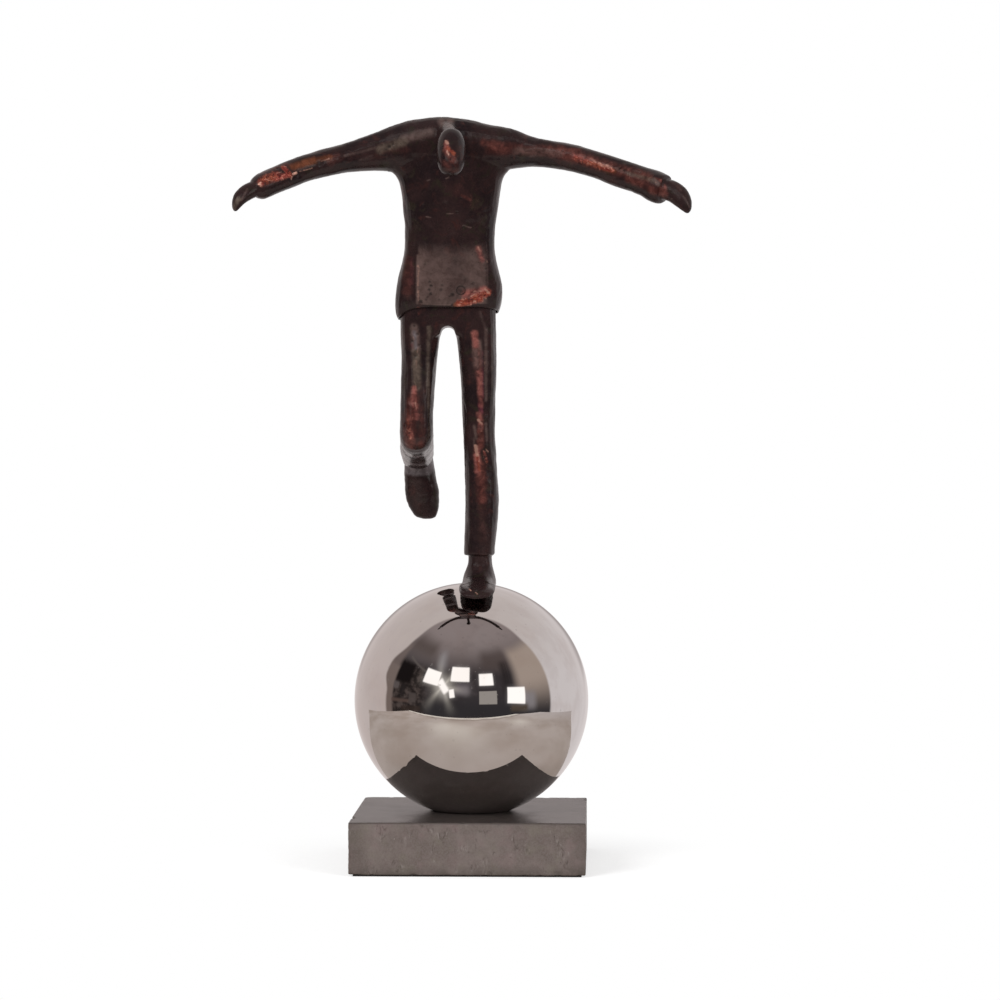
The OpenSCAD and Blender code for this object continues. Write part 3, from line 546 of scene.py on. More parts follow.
def spread(scale, detail, roughness=0.6, shift=0.0, distortion=0.0):
    """A noise over the stone, moved so that no two of them agree."""
    moved = add("VectorMath", {0: place, 1: (shift,) * 3}, operation="ADD")
    return noisy(moved, scale, detail, roughness, distortion)


clouds, patches = spread(60, 5, 0.62, distortion=0.6), spread(150, 3, shift=0.4)
hue, grain = spread(95, 2, shift=0.9), spread(1300, 3, 0.7)
scratched = add("VectorMath", {0: place, 1: (520, 520, 190)}, operation="MULTIPLY")
strokes = noisy(scratched, 1, 2, distortion=1.5)
groups = ramp(spread(115, 2, shift=1.7), 0.52, 0.64)
pits = use(speckle, Place=place, Size=0.0013, Amount=0.16, Softness=0.2)["Mask"]
moved = add("VectorMath", {0: place, 1: (0.3, 0.1, 0.2)}, operation="ADD")
flecks = use(speckle, Place=moved, Size=0.0024, Amount=0.10, Softness=0.12)["Mask"]
wiped = use(handling, Place=place, Streak_length=0.06, Smudge_size=0.018)
print("taupe_stone nodes with the patterns:", len(tree.nodes))

# %% Stone colours
colour = mix(ramp(clouds, 0.32, 0.68), (0.132, 0.106, 0.098), (0.188, 0.157, 0.146))
colour = over(colour, ramp(hue, 0.5, 0.68), (0.165, 0.150, 0.120), 0.6)
colour = over(colour, ramp(hue, 0.5, 0.34), (0.190, 0.140, 0.138), 0.6)
colour = mix(ramp(patches, 0.35, 0.65, 0.0, 0.5), colour, (0.118, 0.098, 0.088))
colour = mix(ramp(grain, 0.35, 0.65, 0.0, 0.45), colour, (0.210, 0.180, 0.172))
colour = over(colour, flecks, (0.42, 0.39, 0.38), 0.7)
dark = larger(times(ramp(strokes, 0.52, 0.68), groups), times(pits, 0.5))
dark = times(dark, ramp(top, 1.0, 0.0))
pale_strokes = times(ramp(strokes, 0.45, 0.30), groups)
colour = over(colour, pale_strokes, (0.27, 0.24, 0.23), 0.6)
colour = over(colour, dark, (0.045, 0.034, 0.030), 0.45)
edges = scaled(foot, 0.5, times(side, 0.35))
edges = calc("MULTIPLY", edges, ramp(patches, 0.3, 0.6, 0.4, 1.0), clamp=True)
colour = mix(edges, colour, (0.070, 0.060, 0.052))
# Painted shade: the top is darker as if in the ball's shadow, since the ball overhangs the whole
# top.
colour = over(colour, top, (0.060, 0.048, 0.045), 0.7)
put(colour, shader["Base Color"])
rough = ramp(grain, 0.3, 0.7, 0.40, 0.58)
honed = ramp(clouds, 0.3, 0.7, 0.17, 0.24)
honed = scaled(wiped["Streaks"], 0.05, honed)
rough = mix(top, rough, honed)
put(scaled(dark, 0.3, rough), shader["Roughness"])
level = scaled(dark, -1.0, times(grain, 0.35))
level = times(level, ramp(top, 1.0, 0.0, 0.1, 1.0))
put(add("Bump", {"Height": level, "Strength": 0.5, "Distance": 0.0004}), shader["Normal"])
print("taupe_stone nodes:", len(tree.nodes))

# %% Block helpers
def filled_box(node):
    """A cube that fills the CAD node's box, and its size."""
    bm, size = bmesh.new(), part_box(node)[1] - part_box(node)[0]
    bmesh.ops.create_cube(bm, size=1, matrix=Matrix.Translation(
        box_middle(node)) @ Matrix.Diagonal((*size, 1)))
    return bm, size


def divide(bm, size, cuts):
    """Cuts the long edges along X, Y and Z into the given numbers of parts."""
    for axis, count in enumerate(cuts):
        along = [e for e in bm.edges
                 if abs((e.verts[0].co - e.verts[1].co)[axis]) > size[axis] * 0.9]
        bmesh.ops.subdivide_edges(bm, edges=along, cuts=count, use_grid_fill=True)
    bm.normal_update()


# %% Plinth block
arris = 0.0006
block, stone_size = filled_box("plinth")
bmesh.ops.bevel(block, geom=block.edges[:], offset=arris, offset_type="OFFSET",
                affect="EDGES", segments=2, profile=0.5, material=-1)
divide(block, stone_size, (130, 130, 30))


def rim_distance(point):
    """How far a point lies from the nearest edge of the block."""
    gaps = sorted(min(point[i] - stone_low[i], stone_high[i] - point[i]) for i in range(3))
    return gaps[1]


worn_width = 0.0022
nibble_depth, chip_depth, pit_depth, wave_depth = 0.0009, 0.0045, 0.0009, 0.00005


def stone_wear(point):
    """Depth of chips along the edges and of open pits in the faces."""
    edge = max(0.0, 1 - rim_distance(point) / worn_width)
    worn = max(0.0, noise.noise(point * 420) - 0.18) * nibble_depth * edge ** 1.5
    worn += max(0.0, noise.noise(point * 130 + Vector((7, 0, 0))) - 0.36) * chip_depth * edge
    near, spots = noise.voronoi(point * 160)
    if noise.cell(spots[0] * 3.1 + Vector((5, 5, 5))) > 0.86:
        worn += max(0.0, 0.22 - near[0]) * pit_depth
    return worn + wave_depth * noise.noise(point * 60)


for v in block.verts:
    v.co = v.co - v.normal * max(0.0, stone_wear(v.co.copy()))

plinth = make_piece("stone_plinth", block, "stone", stone, "plinth")

# %% Seat, recess and bolt hole
seat_gap = 0.0001
seat = bmesh.new()
bmesh.ops.create_uvsphere(seat, u_segments=180, v_segments=120, radius=ball_radius + seat_gap,
                          matrix=Matrix.Translation(ball_middle))
cutters = [new_object("seat_cutter", seat)]
# Each round cutter: radius, length, height of its middle above the stone's underside, sides.
for name, radius, length, height, sides in (("recess_cutter", 0.013, 0.012, 0.004, 96),
                                            ("hole_cutter", 0.0045, 0.06, 0.013, 64)):
    drill = bmesh.new()
    bmesh.ops.create_cone(drill, cap_ends=True, segments=sides, radius1=radius, radius2=radius,
                          depth=length, matrix=Matrix.Translation((0, 0, stone_low.z + height)))
    cutters.append(new_object(name, drill))
for tool in cutters:
    cut = plinth.modifiers.new(tool.name, "BOOLEAN")
    cut.object, cut.operation, cut.solver = tool, "DIFFERENCE", "EXACT"
cut_plinth = bpy.data.meshes.new_from_object(
    plinth.evaluated_get(bpy.context.evaluated_depsgraph_get()))
plinth.modifiers.clear()
plinth.data = cut_plinth
for tool in cutters:
    bpy.data.objects.remove(tool)
print("plinth faces after cutting:", len(cut_plinth.polygons))

# %% [markdown]
# ## Felt
# A sheet of black wool felt keeps the stone off the table. It is cut by hand, so its edge
# wavers a little, and its fibres make it matt and slightly fuzzy.

# %% Felt
felt, tree, shader = principled("black_felt", Base_Color=(0.02, 0.02, 0.02, 1),
                                Roughness=0.95, Sheen_Weight=0.4)
place = add("TexCoord").outputs["Object"]
fibres = noisy(place, 2600, 3, 0.7, 1.5)
put(mix(ramp(fibres, 0.35, 0.65), (0.010, 0.010, 0.011), (0.040, 0.038, 0.037)),
    shader["Base Color"])
put(add("Bump", {"Height": fibres, "Strength": 0.6, "Distance": 0.0003}), shader["Normal"])
pad, felt_size = filled_box("base_felt")
uprights = [e for e in pad.edges if abs((e.verts[0].co - e.verts[1].co).z) > felt_size.z / 2]
bmesh.ops.bevel(pad, geom=uprights, offset=0.0008, offset_type="OFFSET", affect="EDGES",
                segments=3, profile=0.5, material=-1)
divide(pad, felt_size, (70, 70))
edge_waver = 0.002
for v in pad.verts:
    v.co.xy = v.co.xy * (1 - edge_waver * (0.5 + 0.5 * noise.noise(v.co * 90)))
make_piece("felt_pad", pad, "felt", felt, "base_felt")

# %% [markdown]
# ## Bronze casting
# The cast sections are welded and chased until no seam shows, so the bronze is first made as
# two continuous skins: one for the legs, and one for jacket, arms, hands and head, whose hem
# hangs over the top of the legs. Copies of the CAD sections are joined, remeshed in small
# voxels so that they flow together, and smoothed. What the remesh leaves inside is dropped.

# %% Skins from the cast sections
upper_names = ["jacket", "right_sleeve", "left_sleeve", "right_hand", "left_hand", "head"]
lower_names = ["trouser_seat", "standing_leg", "standing_shoe", "raised_thigh",
               "raised_shin", "raised_shoe"]
voxel = 0.0005
print("cast sections:", len(upper_names), "above the hem and", len(lower_names), "below")

# %% Skin helpers
def islands(bm):
    """The connected parts of a mesh, each as a set of vertices, the largest first."""
    waiting, found = set(bm.verts), []
    while waiting:
        front = [waiting.pop()]
        part = set(front)
        while front:
            for edge in front.pop().link_edges:
                for v in edge.verts:
                    if v in waiting:
                        waiting.discard(v)
                        part.add(v)
                        front.append(v)
        found.append(part)
    return sorted(found, key=len, reverse=True)


def smooth(bm, verts, rounds):
    for turn in range(rounds):
        bmesh.ops.smooth_vert(bm, verts=verts, factor=0.5, use_axis_x=True,
                              use_axis_y=True, use_axis_z=True)


# %% Cast skins
# Rows of the CAD loft and the edges between two sections show here, so the wax is rubbed
# smoother: middle and radius in mm, rounds.
rubbed_smooth = (((-28, 44, 206), 20, 24), ((-28, 14, 208), 16, 24),
                 ((-19, -6, 270.5), 11, 24), ((-5, -6, 270.5), 11, 24))


def cast_skin(names):
    joined = bmesh.new()
    for name in names:
        joined.from_mesh(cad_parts[name].data)
    wax = new_object("wax", joined)
    remesh = wax.modifiers.new("flow", "REMESH")
    remesh.mode, remesh.voxel_size = "VOXEL", voxel
    bm = bmesh.new()
    bm.from_object(wax, bpy.context.evaluated_depsgraph_get())
    bpy.data.objects.remove(wax)
    inner = islands(bm)[1:]
    bmesh.ops.delete(bm, geom=[v for part in inner for v in part], context="VERTS")
    smooth(bm, bm.verts, 4)
    for place, radius, rounds in rubbed_smooth:
        near = [v for v in bm.verts if (v.co / MM - Vector(place)).length < radius]
        smooth(bm, near, rounds)
    bm.normal_update()
    print("skin of", len(names), "sections:", len(bm.faces), "faces,",
          len(inner), "inner islands dropped")
    return bm


upper_skin = cast_skin(upper_names)
lower_skin = cast_skin(lower_names)

# %% [markdown]
# ## The modelled surface
# The wax was worked with fingers and a blade, so no surface is quite even: each limb is cut
# in about six long flats, the cloth has broad strokes with creases between them, and there
# are small lumps. A flat shows where the height swings with the bearing that the surface
# faces, and noise that is stretched along the limb gives the strokes. Single marks such as
# pits and round scars are listed one by one, counted from the middle of the plinth's underside.

# %% Relief by noise
right_seam_x = box_middle("right_shoulder_dowel").x / MM
left_seam_x = box_middle("left_shoulder_dowel").x / MM
left_wrist_x, right_wrist_x = 101.5, -103.5
head_reach = 19
print("shoulder seams at", round(right_seam_x, 1), "and", round(left_seam_x, 1), "mm")
head_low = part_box("head")[0]
head_middle = Vector((box_middle("head").x, head_low.y + 0.0065, head_low.z + 0.0125)) / MM


def between(value, low, high):
    """0 at low, 1 at high, and straight in between."""
    return min(1.0, max(0.0, (value - low) / (high - low)))


def worked(place, facing):
    """Height in mm of flats, strokes, creases and lumps at a place in mm.

    The place is squeezed along the limb, so that the strokes drawn there run along it.
    """
    on_sleeve = place.x < right_seam_x or place.x > left_seam_x
    shin = between(place.y, 8, 16) * between(place.z, 236, 226) * between(place.x, -8, -14)
    if on_sleeve:
        drawn = Vector((place.x * 0.4, place.y * 0.45, place.z))
        bearing, wander = math.atan2(facing.z, facing.y), noise.noise(place / 25)
        across = 1 - facing.x**2
    else:
        drawn = Vector((place.x, 12 + (place.y - 12) * (1 - 0.6 * shin),
                        82 + (place.z - 205) * (0.4 + 0.6 * shin)))
        bearing, wander = math.atan2(facing.y, facing.x), noise.noise(place / 22)
        across = 1 - facing.z**2
    in_cloth = ((place - head_middle).length > head_reach
                and right_wrist_x < place.x < left_wrist_x)
    flats = math.cos(6 * bearing + 4 * wander) * max(0, 1.6 * across - 0.6) if in_cloth else 0
    strokes = noise.noise(drawn / 6.5)
    creases = min(0.3, abs(noise.noise(drawn / 4.6 + Vector((9, 2, 5)))))
    lumps = noise.noise(place / 2.6 + Vector((3, 8, 1)))
    grain = noise.noise(place / 1.2 + Vector((1, 4, 6)))
    if shin > 0:
        round_shin = math.cos(6 * math.atan2(facing.z, facing.x) + 4 * wander)
        flats += shin * (round_shin * max(0, 1 - 1.6 * facing.y**2) - flats)
    share = 1 if in_cloth else 0.45
    drawn_height = 0.24 * strokes + 0.34 * (creases - 0.3)
    return ((0.08 if on_sleeve else 0.13) * flats + share * drawn_height
            + 0.07 * lumps + 0.015 * grain - 0.1)


def crumpled(place):
    """Height in mm of the torn, granular metal where the patina is rubbed through."""
    folds = abs(noise.noise(place / 1.5 + Vector((2, 7, 7)))) - 0.2
    return 0.55 * folds + 0.16 * noise.noise(place / 0.9)


# %% Marks placed one by one
# Each mark: place (3 numbers) and radius in tenths of a millimetre, depth in hundredths.
marks = {
    "pit": """
        -88 -205 2905 13 45, -103 -203 2897 9 30, -203 -222 2970 9 40, -196 -217 2950 11 50,
        -206 -211 2930 10 50, -199 -205 2910 11 45, -214 -200 2895 8 30, -140 -218 2952 10 30,
        -145 -212 2930 12 35, -227 -244 3057 8 25, -250 -190 2870 13 50, -222 -196 2882 9 30,
        -156 -197 2880 8 25, 83 -222 3036 8 30, 17 -217 2960 13 25, 754 -530 3514 9 50,
        777 -540 3506 9 50, 354 -386 3608 10 35, 337 -383 3616 7 25, 374 -391 3613 7 25,
        259 -367 3600 11 30, 153 -361 3580 8 30, 470 -417 3611 9 30, -398 -377 3639 13 40,
        -413 -373 3625 9 35, -378 -380 3649 8 30, -39 -341 3381 9 35, -60 -322 3312 10 35,
        -231 -323 3347 8 30, -164 -349 3416 10 25, -25 -301 3243 10 30, -46 -41 2385 15 50,
        73 -83 2083 10 50, 48 -96 2236 12 35, 69 -114 2465 9 35, 39 -130 2592 10 25,
        69 -126 2593 10 25, -74 -732 3547 9 50, -286 -146 2750 11 40, -271 -143 2709 10 35,
        -297 -136 2674 10 35, -261 -140 2653 9 30, -281 -136 2597 10 35, -338 -134 2241 9 40,
        -311 -147 2206 8 30, -942 -552 3519 10 40, -973 -594 3467 9 30""",
    "scar": """
        -45 -210 2926 28 45, -309 76 2077 18 35""",
    "dent": """
        -23 -225 2980 25 30, -73 -252 3069 30 25, -119 -334 3352 30 30, 5 -301 3253 36 30,
        -197 -295 3228 30 25, 48 -92 2185 28 50, 43 -103 2323 25 30, -271 -143 2440 20 45,
        -322 -145 2246 23 40, -301 -146 2363 20 30, -736 -467 3551 25 35, -832 -513 3483 23 30,
        535 -435 3609 25 35, 819 -558 3499 25 30, -591 -406 3587 30 30""",
}


def rows_of(text):
    """The rows of a table, turned from tenths and hundredths into plain numbers."""
    rows = [np.array(row.split(), float) for row in text.split(",")]
    return [np.append(row[:-1] / 10, row[-1] / 100) for row in rows]


print("marks:", {kind: len(rows_of(text)) for kind, text in marks.items()})


def mark_depth(kind, gap):
    """Depth of a mark, where gap is the distance from its middle in radii."""
    bowl = np.clip(1 - gap**2, 0, 1) ** 2
    if kind == "pit":
        return np.clip(1 - gap**2, 0, 1)
    if kind == "scar":
        return np.exp(-((gap - 0.78) / 0.13) ** 2) + 0.45 * bowl
    return bowl


# %% Rubbed places, and painted highlights and sheen
# Each place: start (3 numbers), end (3) and radius in tenths of a millimetre, strength in
# hundredths. "torn" is patina broken open down to bare copper, "bright" a painted highlight
# on it, "amber" and "rose" thin patina over it painted lighter as warm highlights, "ruddy"
# and "plum" are worn patina painted lighter in places as highlights, and the grey finish,
# "olive" and "slate" are painted sheen, pale reflections of the room.
wear_and_painted_light = {
    "torn": """
        -1011 -610 3450 -945 -577 3483 48 85, -954 -587 3462 -893 -551 3485 30 80,
        -913 -544 3525 -879 -544 3485 25 100, 535 -439 3574 660 -489 3530 33 70,
        660 -489 3525 720 -516 3508 25 90, -91 -712 3604 -57 -723 3574 23 80,
        -55 -190 2862 51 -191 2885 36 100, 21 -195 2885 92 -191 2915 36 100,
        -322 -145 2272 -301 -146 2180 30 42, 32 -85 2083 42 -81 2017 20 75,
        68 -85 2109 83 -79 2058 20 45""",
    "bright": """
        -1030 -612 3435 -1018 -611 3445 11 80, -865 -535 3491 -850 -527 3497 12 90,
        -874 -538 3466 -869 -537 3476 9 70, -832 -517 3505 -775 -485 3523 8 60,
        -727 -462 3562 -693 -446 3576 8 50, -982 -601 3456 -963 -593 3452 9 60,
        -945 -573 3493 -922 -562 3499 10 50, 600 -464 3567 610 -468 3561 7 50,
        675 -495 3529 705 -509 3518 8 50, 560 -446 3553 575 -452 3548 7 40,
        932 -625 3439 947 -630 3434 9 40, 650 -484 3540 720 -516 3508 15 45,
        610 -467 3566 725 -518 3512 23 50, -100 -692 3641 -89 -703 3625 12 100,
        -91 -720 3584 -81 -727 3569 9 70, 46 -260 3142 54 -252 3125 10 70,
        21 -205 2920 67 -201 2925 13 45, 77 -200 2933 97 -190 2916 13 80,
        1 -190 2865 31 -191 2875 9 50, -9 -199 2890 21 -201 2905 9 50,
        62 -194 2900 82 -185 2885 9 50, -258 -237 3050 -263 -191 2875 16 42,
        89 -243 3161 88 -225 3071 6 35, -291 -140 2694 -284 -139 2669 8 45,
        -276 -137 2572 -274 -138 2531 7 45, -266 -139 2638 -271 -138 2613 7 40,
        -281 -149 2358 -273 -151 2333 10 60, -296 -143 2414 -301 -144 2389 7 35,
        -296 -152 2292 -285 -154 2261 7 40, -332 -135 2211 -322 -140 2190 7 35,
        74 -125 2603 74 -117 2506 7 40, 40 -99 2272 58 -96 2252 12 80,
        25 -88 2139 32 -85 2093 17 100, 78 -83 2124 88 -78 2109 8 50, 68 -83 2068 78 -81 2060 7 50,
        48 -94 2211 68 -92 2221 6 30, 1 -319 1420 11 -335 1413 8 90,
        37 -347 1404 45 -353 1397 8 90""",
    "amber": """
        -865 -527 3531 -765 -477 3566 41 90, -765 -477 3566 -689 -443 3583 30 70,
        675 -495 3519 730 -521 3502 25 75, -71 -187 2855 -10 -192 2870 25 100""",
    "rose": """
        961 -623 3449 981 -625 3410 15 56, 645 -482 3545 715 -513 3513 30 56,
        530 -438 3589 710 -511 3518 30 75, -281 -146 2389 -270 -154 2282 25 62,
        -97 -698 3630 -86 -721 3584 23 90, 46 -258 3135 63 -238 3080 28 70,
        -19 -205 2907 72 -200 2925 41 100, -286 -142 2434 -291 -148 2348 28 88,
        -311 -149 2282 -296 -149 2190 25 45, -333 -132 2190 -322 -131 2170 15 50,
        22 -143 2709 29 -136 2648 33 94, 42 -133 2628 54 -118 2486 21 55,
        44 -122 2516 53 -104 2348 28 72, 29 -135 2638 39 -121 2496 36 30,
        43 -101 2303 53 -95 2236 28 75, 30 -87 2119 37 -81 2012 33 90""",
    "ruddy": """
        -689 -443 3583 -650 -427 3595 30 50, -1015 -568 3498 -905 -527 3541 36 60,
        -429 -371 3615 -383 -375 3624 30 50, 79 -388 3658 174 -378 3644 41 75,
        174 -377 3634 279 -375 3624 36 50, 284 -376 3629 425 -402 3627 36 75,
        425 -404 3617 545 -437 3609 36 100, 515 -433 3594 670 -493 3539 46 100,
        720 -516 3508 799 -554 3480 30 88, 799 -553 3460 966 -618 3400 46 88,
        873 -591 3467 956 -626 3449 18 100, 907 -616 3405 976 -616 3376 41 100,
        119 -381 3629 460 -414 3611 66 85, 460 -414 3606 883 -596 3466 66 94,
        -688 -444 3568 -318 -381 3624 56 40, -33 -345 3396 6 -336 3376 20 60,
        -96 -715 3594 -61 -731 3544 36 90, -106 -725 3525 -62 -714 3486 36 55,
        -126 -709 3546 -101 -718 3496 25 40, -58 -353 3426 6 -336 3376 112 28,
        7 -359 3475 55 -297 3279 71 22, 58 -235 3060 63 -227 3030 20 60,
        -40 -201 2895 1 -207 2920 25 60, -317 -216 3071 -314 -193 2920 66 50,
        -253 -198 2895 -248 -184 2855 20 35, -291 -146 2373 -313 -122 2145 66 100,
        -250 -148 2333 -252 -121 2139 46 60, 48 -94 2211 48 -89 2139 36 100,
        52 -83 2037 57 -77 1864 56 75, 57 -77 1864 57 -73 1659 51 35,
        -333 490 1906 -302 505 1827 46 25, -264 -174 2840 -260 -156 2810 15 50""",
    "plum": """
        53 -246 3100 66 -236 3075 25 100, -296 -231 3081 -298 -207 2960 30 40,
        -292 -137 2653 -266 -138 2608 25 75, 59 -131 2618 63 -106 2384 17 60,
        48 -105 2354 53 -101 2313 25 100""",
    "painted_sheen": """
        -616 -415 3591 -463 -377 3634 16 55, -317 -389 3678 -191 -398 3708 46 75,
        -1111 -645 3354 -1083 -629 3409 13 60, -543 -384 3573 -484 -374 3594 15 35,
        309 -369 3590 460 -414 3601 20 44, 824 -557 3504 858 -573 3493 15 50,
        922 -617 3455 951 -627 3424 20 100, 1069 -649 3368 1099 -640 3315 9 69,
        1011 -616 3445 1055 -640 3404 20 44, 234 -369 3615 460 -414 3596 41 50,
        249 -373 3625 420 -403 3612 30 56, 740 -525 3512 819 -564 3479 20 50,
        -209 -357 3470 -193 -359 3475 8 70, -113 -365 3480 -98 -366 3485 7 70,
        -110 -321 3307 -80 -321 3307 7 80, -30 -303 3248 10 -296 3238 8 80,
        -216 -310 3293 -191 -312 3288 7 70, -133 -372 3775 -125 -428 3740 41 90,
        -93 -368 3776 -88 -475 3730 41 90, -260 -249 3100 -266 -187 2865 17 100,
        88 -225 3071 92 -202 2956 10 50, -248 -187 2860 -101 -187 2855 10 100,
        -286 -144 2740 -276 -138 2628 41 100, -344 -106 2705 -338 -124 2374 15 38,
        34 -138 2663 39 -126 2557 46 95, 80 -135 2730 79 -100 2374 20 60,
        17 -95 2241 27 -91 2180 17 70, 78 -90 2252 83 -83 2170 17 60,
        17 -90 2180 17 -87 2139 14 50, 57 -76 1787 56 -49 1577 66 25,
        -317 480 1948 -292 507 1821 81 30, 50 -155 2821 80 -135 2730 20 40""",
    "olive": """
        -443 -375 3624 -322 -387 3663 46 80, -1151 -634 3315 -1126 -646 3359 25 100,
        799 -553 3490 917 -617 3450 25 62, -276 -137 2618 -271 -143 2445 41 100,
        -210 -140 2740 -217 -113 2170 25 69, 110 -113 2756 118 -53 2017 20 40""",
    "slate": """
        -286 -142 2719 -276 -138 2638 20 50, -380 310 2086 -206 185 2118 81 100,
        -323 47 2088 -239 29 2093 56 100, -336 277 2045 -243 286 2050 56 100,
        -349 485 2012 -248 485 2012 46 100, -378 532 2032 -233 496 2043 71 100""",
}


print("places:", {finish: len(rows_of(text)) for finish, text in wear_and_painted_light.items()})

# %% How near a vertex is
def nearness(places, start, end, radius):
    """1 on the line from start to end, falling smoothly to 0 at the radius."""
    along = end - start
    share = np.clip((places - start) @ along / max(along @ along, 1e-9), 0, 1)
    gap = np.linalg.norm(places - start - share[:, None] * along, axis=1)
    near = np.clip(1 - gap / radius, 0, 1)
    return near * near * (3 - 2 * near)


def step(values, low, high):
    """0 below low, 1 above high, and smooth between them."""
    share = np.clip((values - low) / (high - low), 0, 1)
    return share * share * (3 - 2 * share)


def front_panel(places):
    """Painted grey reflection on the flat front of the jacket above its hem, with a crisp lower
    edge.
    """
    x, y, z = places.T
    across = step(x, -27, -25) * step(x, 11, 7)
    upward = step(z, 285.4, 286.2) * step(z, 321, 307)
    bands = 0.66 + 0.10 * np.sin(x / 3 + 0.6) + 0.34 * step(x, -20, -24.5)
    return across * upward * bands * (y < -12)


# %% Working the skins
# Only what looks towards the camera side is rubbed and gets painted highlights and sheen: none at
# the first share, all at the other.
camera_side = (0.04, -0.996, 0.08)
turned_away, turned_to = -0.12, 0.15


def work_skin(bm):
    """Moves the skin by noise and marks, and notes on each vertex how it is finished and where
    highlights and sheen are painted.
    """
    places = np.array([v.co for v in bm.verts]) / MM
    normals = np.array([v.normal for v in bm.verts])
    to_front = step(normals @ camera_side, turned_away, turned_to)
    heights = np.array([worked(Vector(p), v.normal) for p, v in zip(places, bm.verts)])
    hollow = np.zeros(len(places))
    for kind, text in marks.items():
        for x, y, z, radius, depth in rows_of(text):
            sunk = mark_depth(kind, np.linalg.norm(places - (x, y, z), axis=1) / radius)
            heights -= depth * sunk
            if kind != "dent":
                hollow = np.maximum(hollow, sunk * min(1, 2.2 * depth))
    notes = {finish: np.max([nearness(places, row[:3], row[3:6], row[6]) * row[7]
                             for row in rows_of(text)], axis=0) * to_front
             for finish, text in wear_and_painted_light.items()}
    open_metal = np.flatnonzero(notes["torn"] > 0.05)
    heights[open_metal] += notes["torn"][open_metal] * [
        crumpled(Vector(places[i])) for i in open_metal]
    notes["painted_sheen"] = np.maximum(notes["painted_sheen"], front_panel(places))
    notes["hollow"] = np.maximum(hollow, np.clip(-heights - 0.25, 0, 1) * 1.4)
    layers = {name: bm.verts.layers.float.new(name) for name in notes}
    for v, height in zip(bm.verts, heights):
        v.co += v.normal * float(height) * MM
    for name, layer in layers.items():
        for v, value in zip(bm.verts, notes[name]):
            v[layer] = float(value)
    bm.normal_update()
    kept = bm.verts.layers.float_vector.new("skin_normal")
    for v in bm.verts:
        v[kept] = v.normal
    print("relief from", heights.min().round(2), "to", heights.max().round(2), "mm")


work_skin(upper_skin)
work_skin(lower_skin)

# %% [markdown]
# ## Bronze finish
# A dark reddish-brown patina covers the bronze like a thin lacquer, so most of it is no bare
# metal: it has little colour and a soft gloss. Where hands have rubbed it through, the copper
# shows. Highlights and sheen of the lit room are painted on some faces as pale, pink and amber
# colour, and the worn patina is painted lighter in places as highlights. The notes on the
# vertices say where, and noise breaks up their borders.

# %% Bronze patterns
bronze, tree, shader = principled(
    "dark_bronze", Base_Color=(0.03, 0.017, 0.016, 1), Metallic=0.0, Roughness=0.35,
    Specular_IOR_Level=0.25)
place = add("TexCoord").outputs["Object"]
notes = {name: add("Attribute", attribute_name=name).outputs["Fac"]
         for name in (*wear_and_painted_light, "hollow")}
grain = noisy(place, 900, 4, 0.7)
torn = noisy(place, 420, 5, 0.7, 0.8)
cloud = noisy(place, 240, 5, 0.65, 0.6)
drift = noisy(place, 55, 4, 0.6)
hue = noisy(place, 130, 3, 0.6, 1.0)
specks = use(speckle, Place=place, Size=0.0016, Amount=0.22, Softness=0.12)["Mask"]


print("dark_bronze nodes with the patterns:", len(tree.nodes))

# %% Bronze colours
def broken(note, low, high, amount, by):
    """A note on the vertices with its border broken up by noise."""
    return ramp(calc("ADD", note, scaled(by, amount, -amount / 2)), low, high)


colour = mix(ramp(drift, 0.32, 0.68), (0.0122, 0.0074, 0.0083), (0.0265, 0.0140, 0.0138))
colour = mix(ramp(hue, 0.54, 0.74), colour, (0.036, 0.0145, 0.013))
colour = mix(ramp(hue, 0.46, 0.28), colour, (0.021, 0.0158, 0.0115))
colour = mix(ramp(grain, 0.35, 0.65), colour, mix(1.0, colour, (1.3, 1.25, 1.25), "MULTIPLY"))
around = larger(notes["ruddy"], times(notes["torn"], 1.3))
# Worn patina, and painted highlights and sheen: plum and ruddy are worn patina painted lighter in
# places, the grey, olive and slate tones are painted sheen, rose and amber painted warm
# highlights.
for note, low, high, amount, dull, rich in (
        (notes["plum"], 0.10, 0.95, 0.3, (0.055, 0.014, 0.020), (0.130, 0.034, 0.045)),
        (around, 0.08, 0.98, 0.4, (0.046, 0.014, 0.012), (0.130, 0.042, 0.034)),
        (notes["painted_sheen"], 0.06, 0.98, 0.2, (0.080, 0.050, 0.044), (0.126, 0.081, 0.073)),
        (notes["olive"], 0.06, 0.98, 0.4, (0.052, 0.036, 0.029), (0.122, 0.088, 0.070)),
        (notes["slate"], 0.04, 0.60, 0.3, (0.085, 0.068, 0.071), (0.165, 0.136, 0.142)),
        (notes["rose"], 0.02, 1.0, 0.4, (0.075, 0.023, 0.021), (0.320, 0.108, 0.090)),
        (notes["amber"], 0.08, 0.95, 0.4, (0.082, 0.025, 0.012), (0.170, 0.054, 0.027))):
    colour = mix(broken(note, low, high, amount, cloud), colour,
                 mix(ramp(cloud, 0.3, 0.7), dull, rich))
copper = broken(notes["torn"], 0.25, 0.95, 1.3, torn)
bare = mix(ramp(hue, 0.38, 0.62), (0.30, 0.050, 0.040), (0.44, 0.110, 0.062))
bare = mix(ramp(torn, 0.50, 0.36), bare, (0.080, 0.018, 0.016))
# Painted highlights: the peaks of the torn metal are pale pink.
bare = mix(ramp(torn, 0.53, 0.66), bare, (0.66, 0.30, 0.23))
colour = mix(copper, colour, bare)
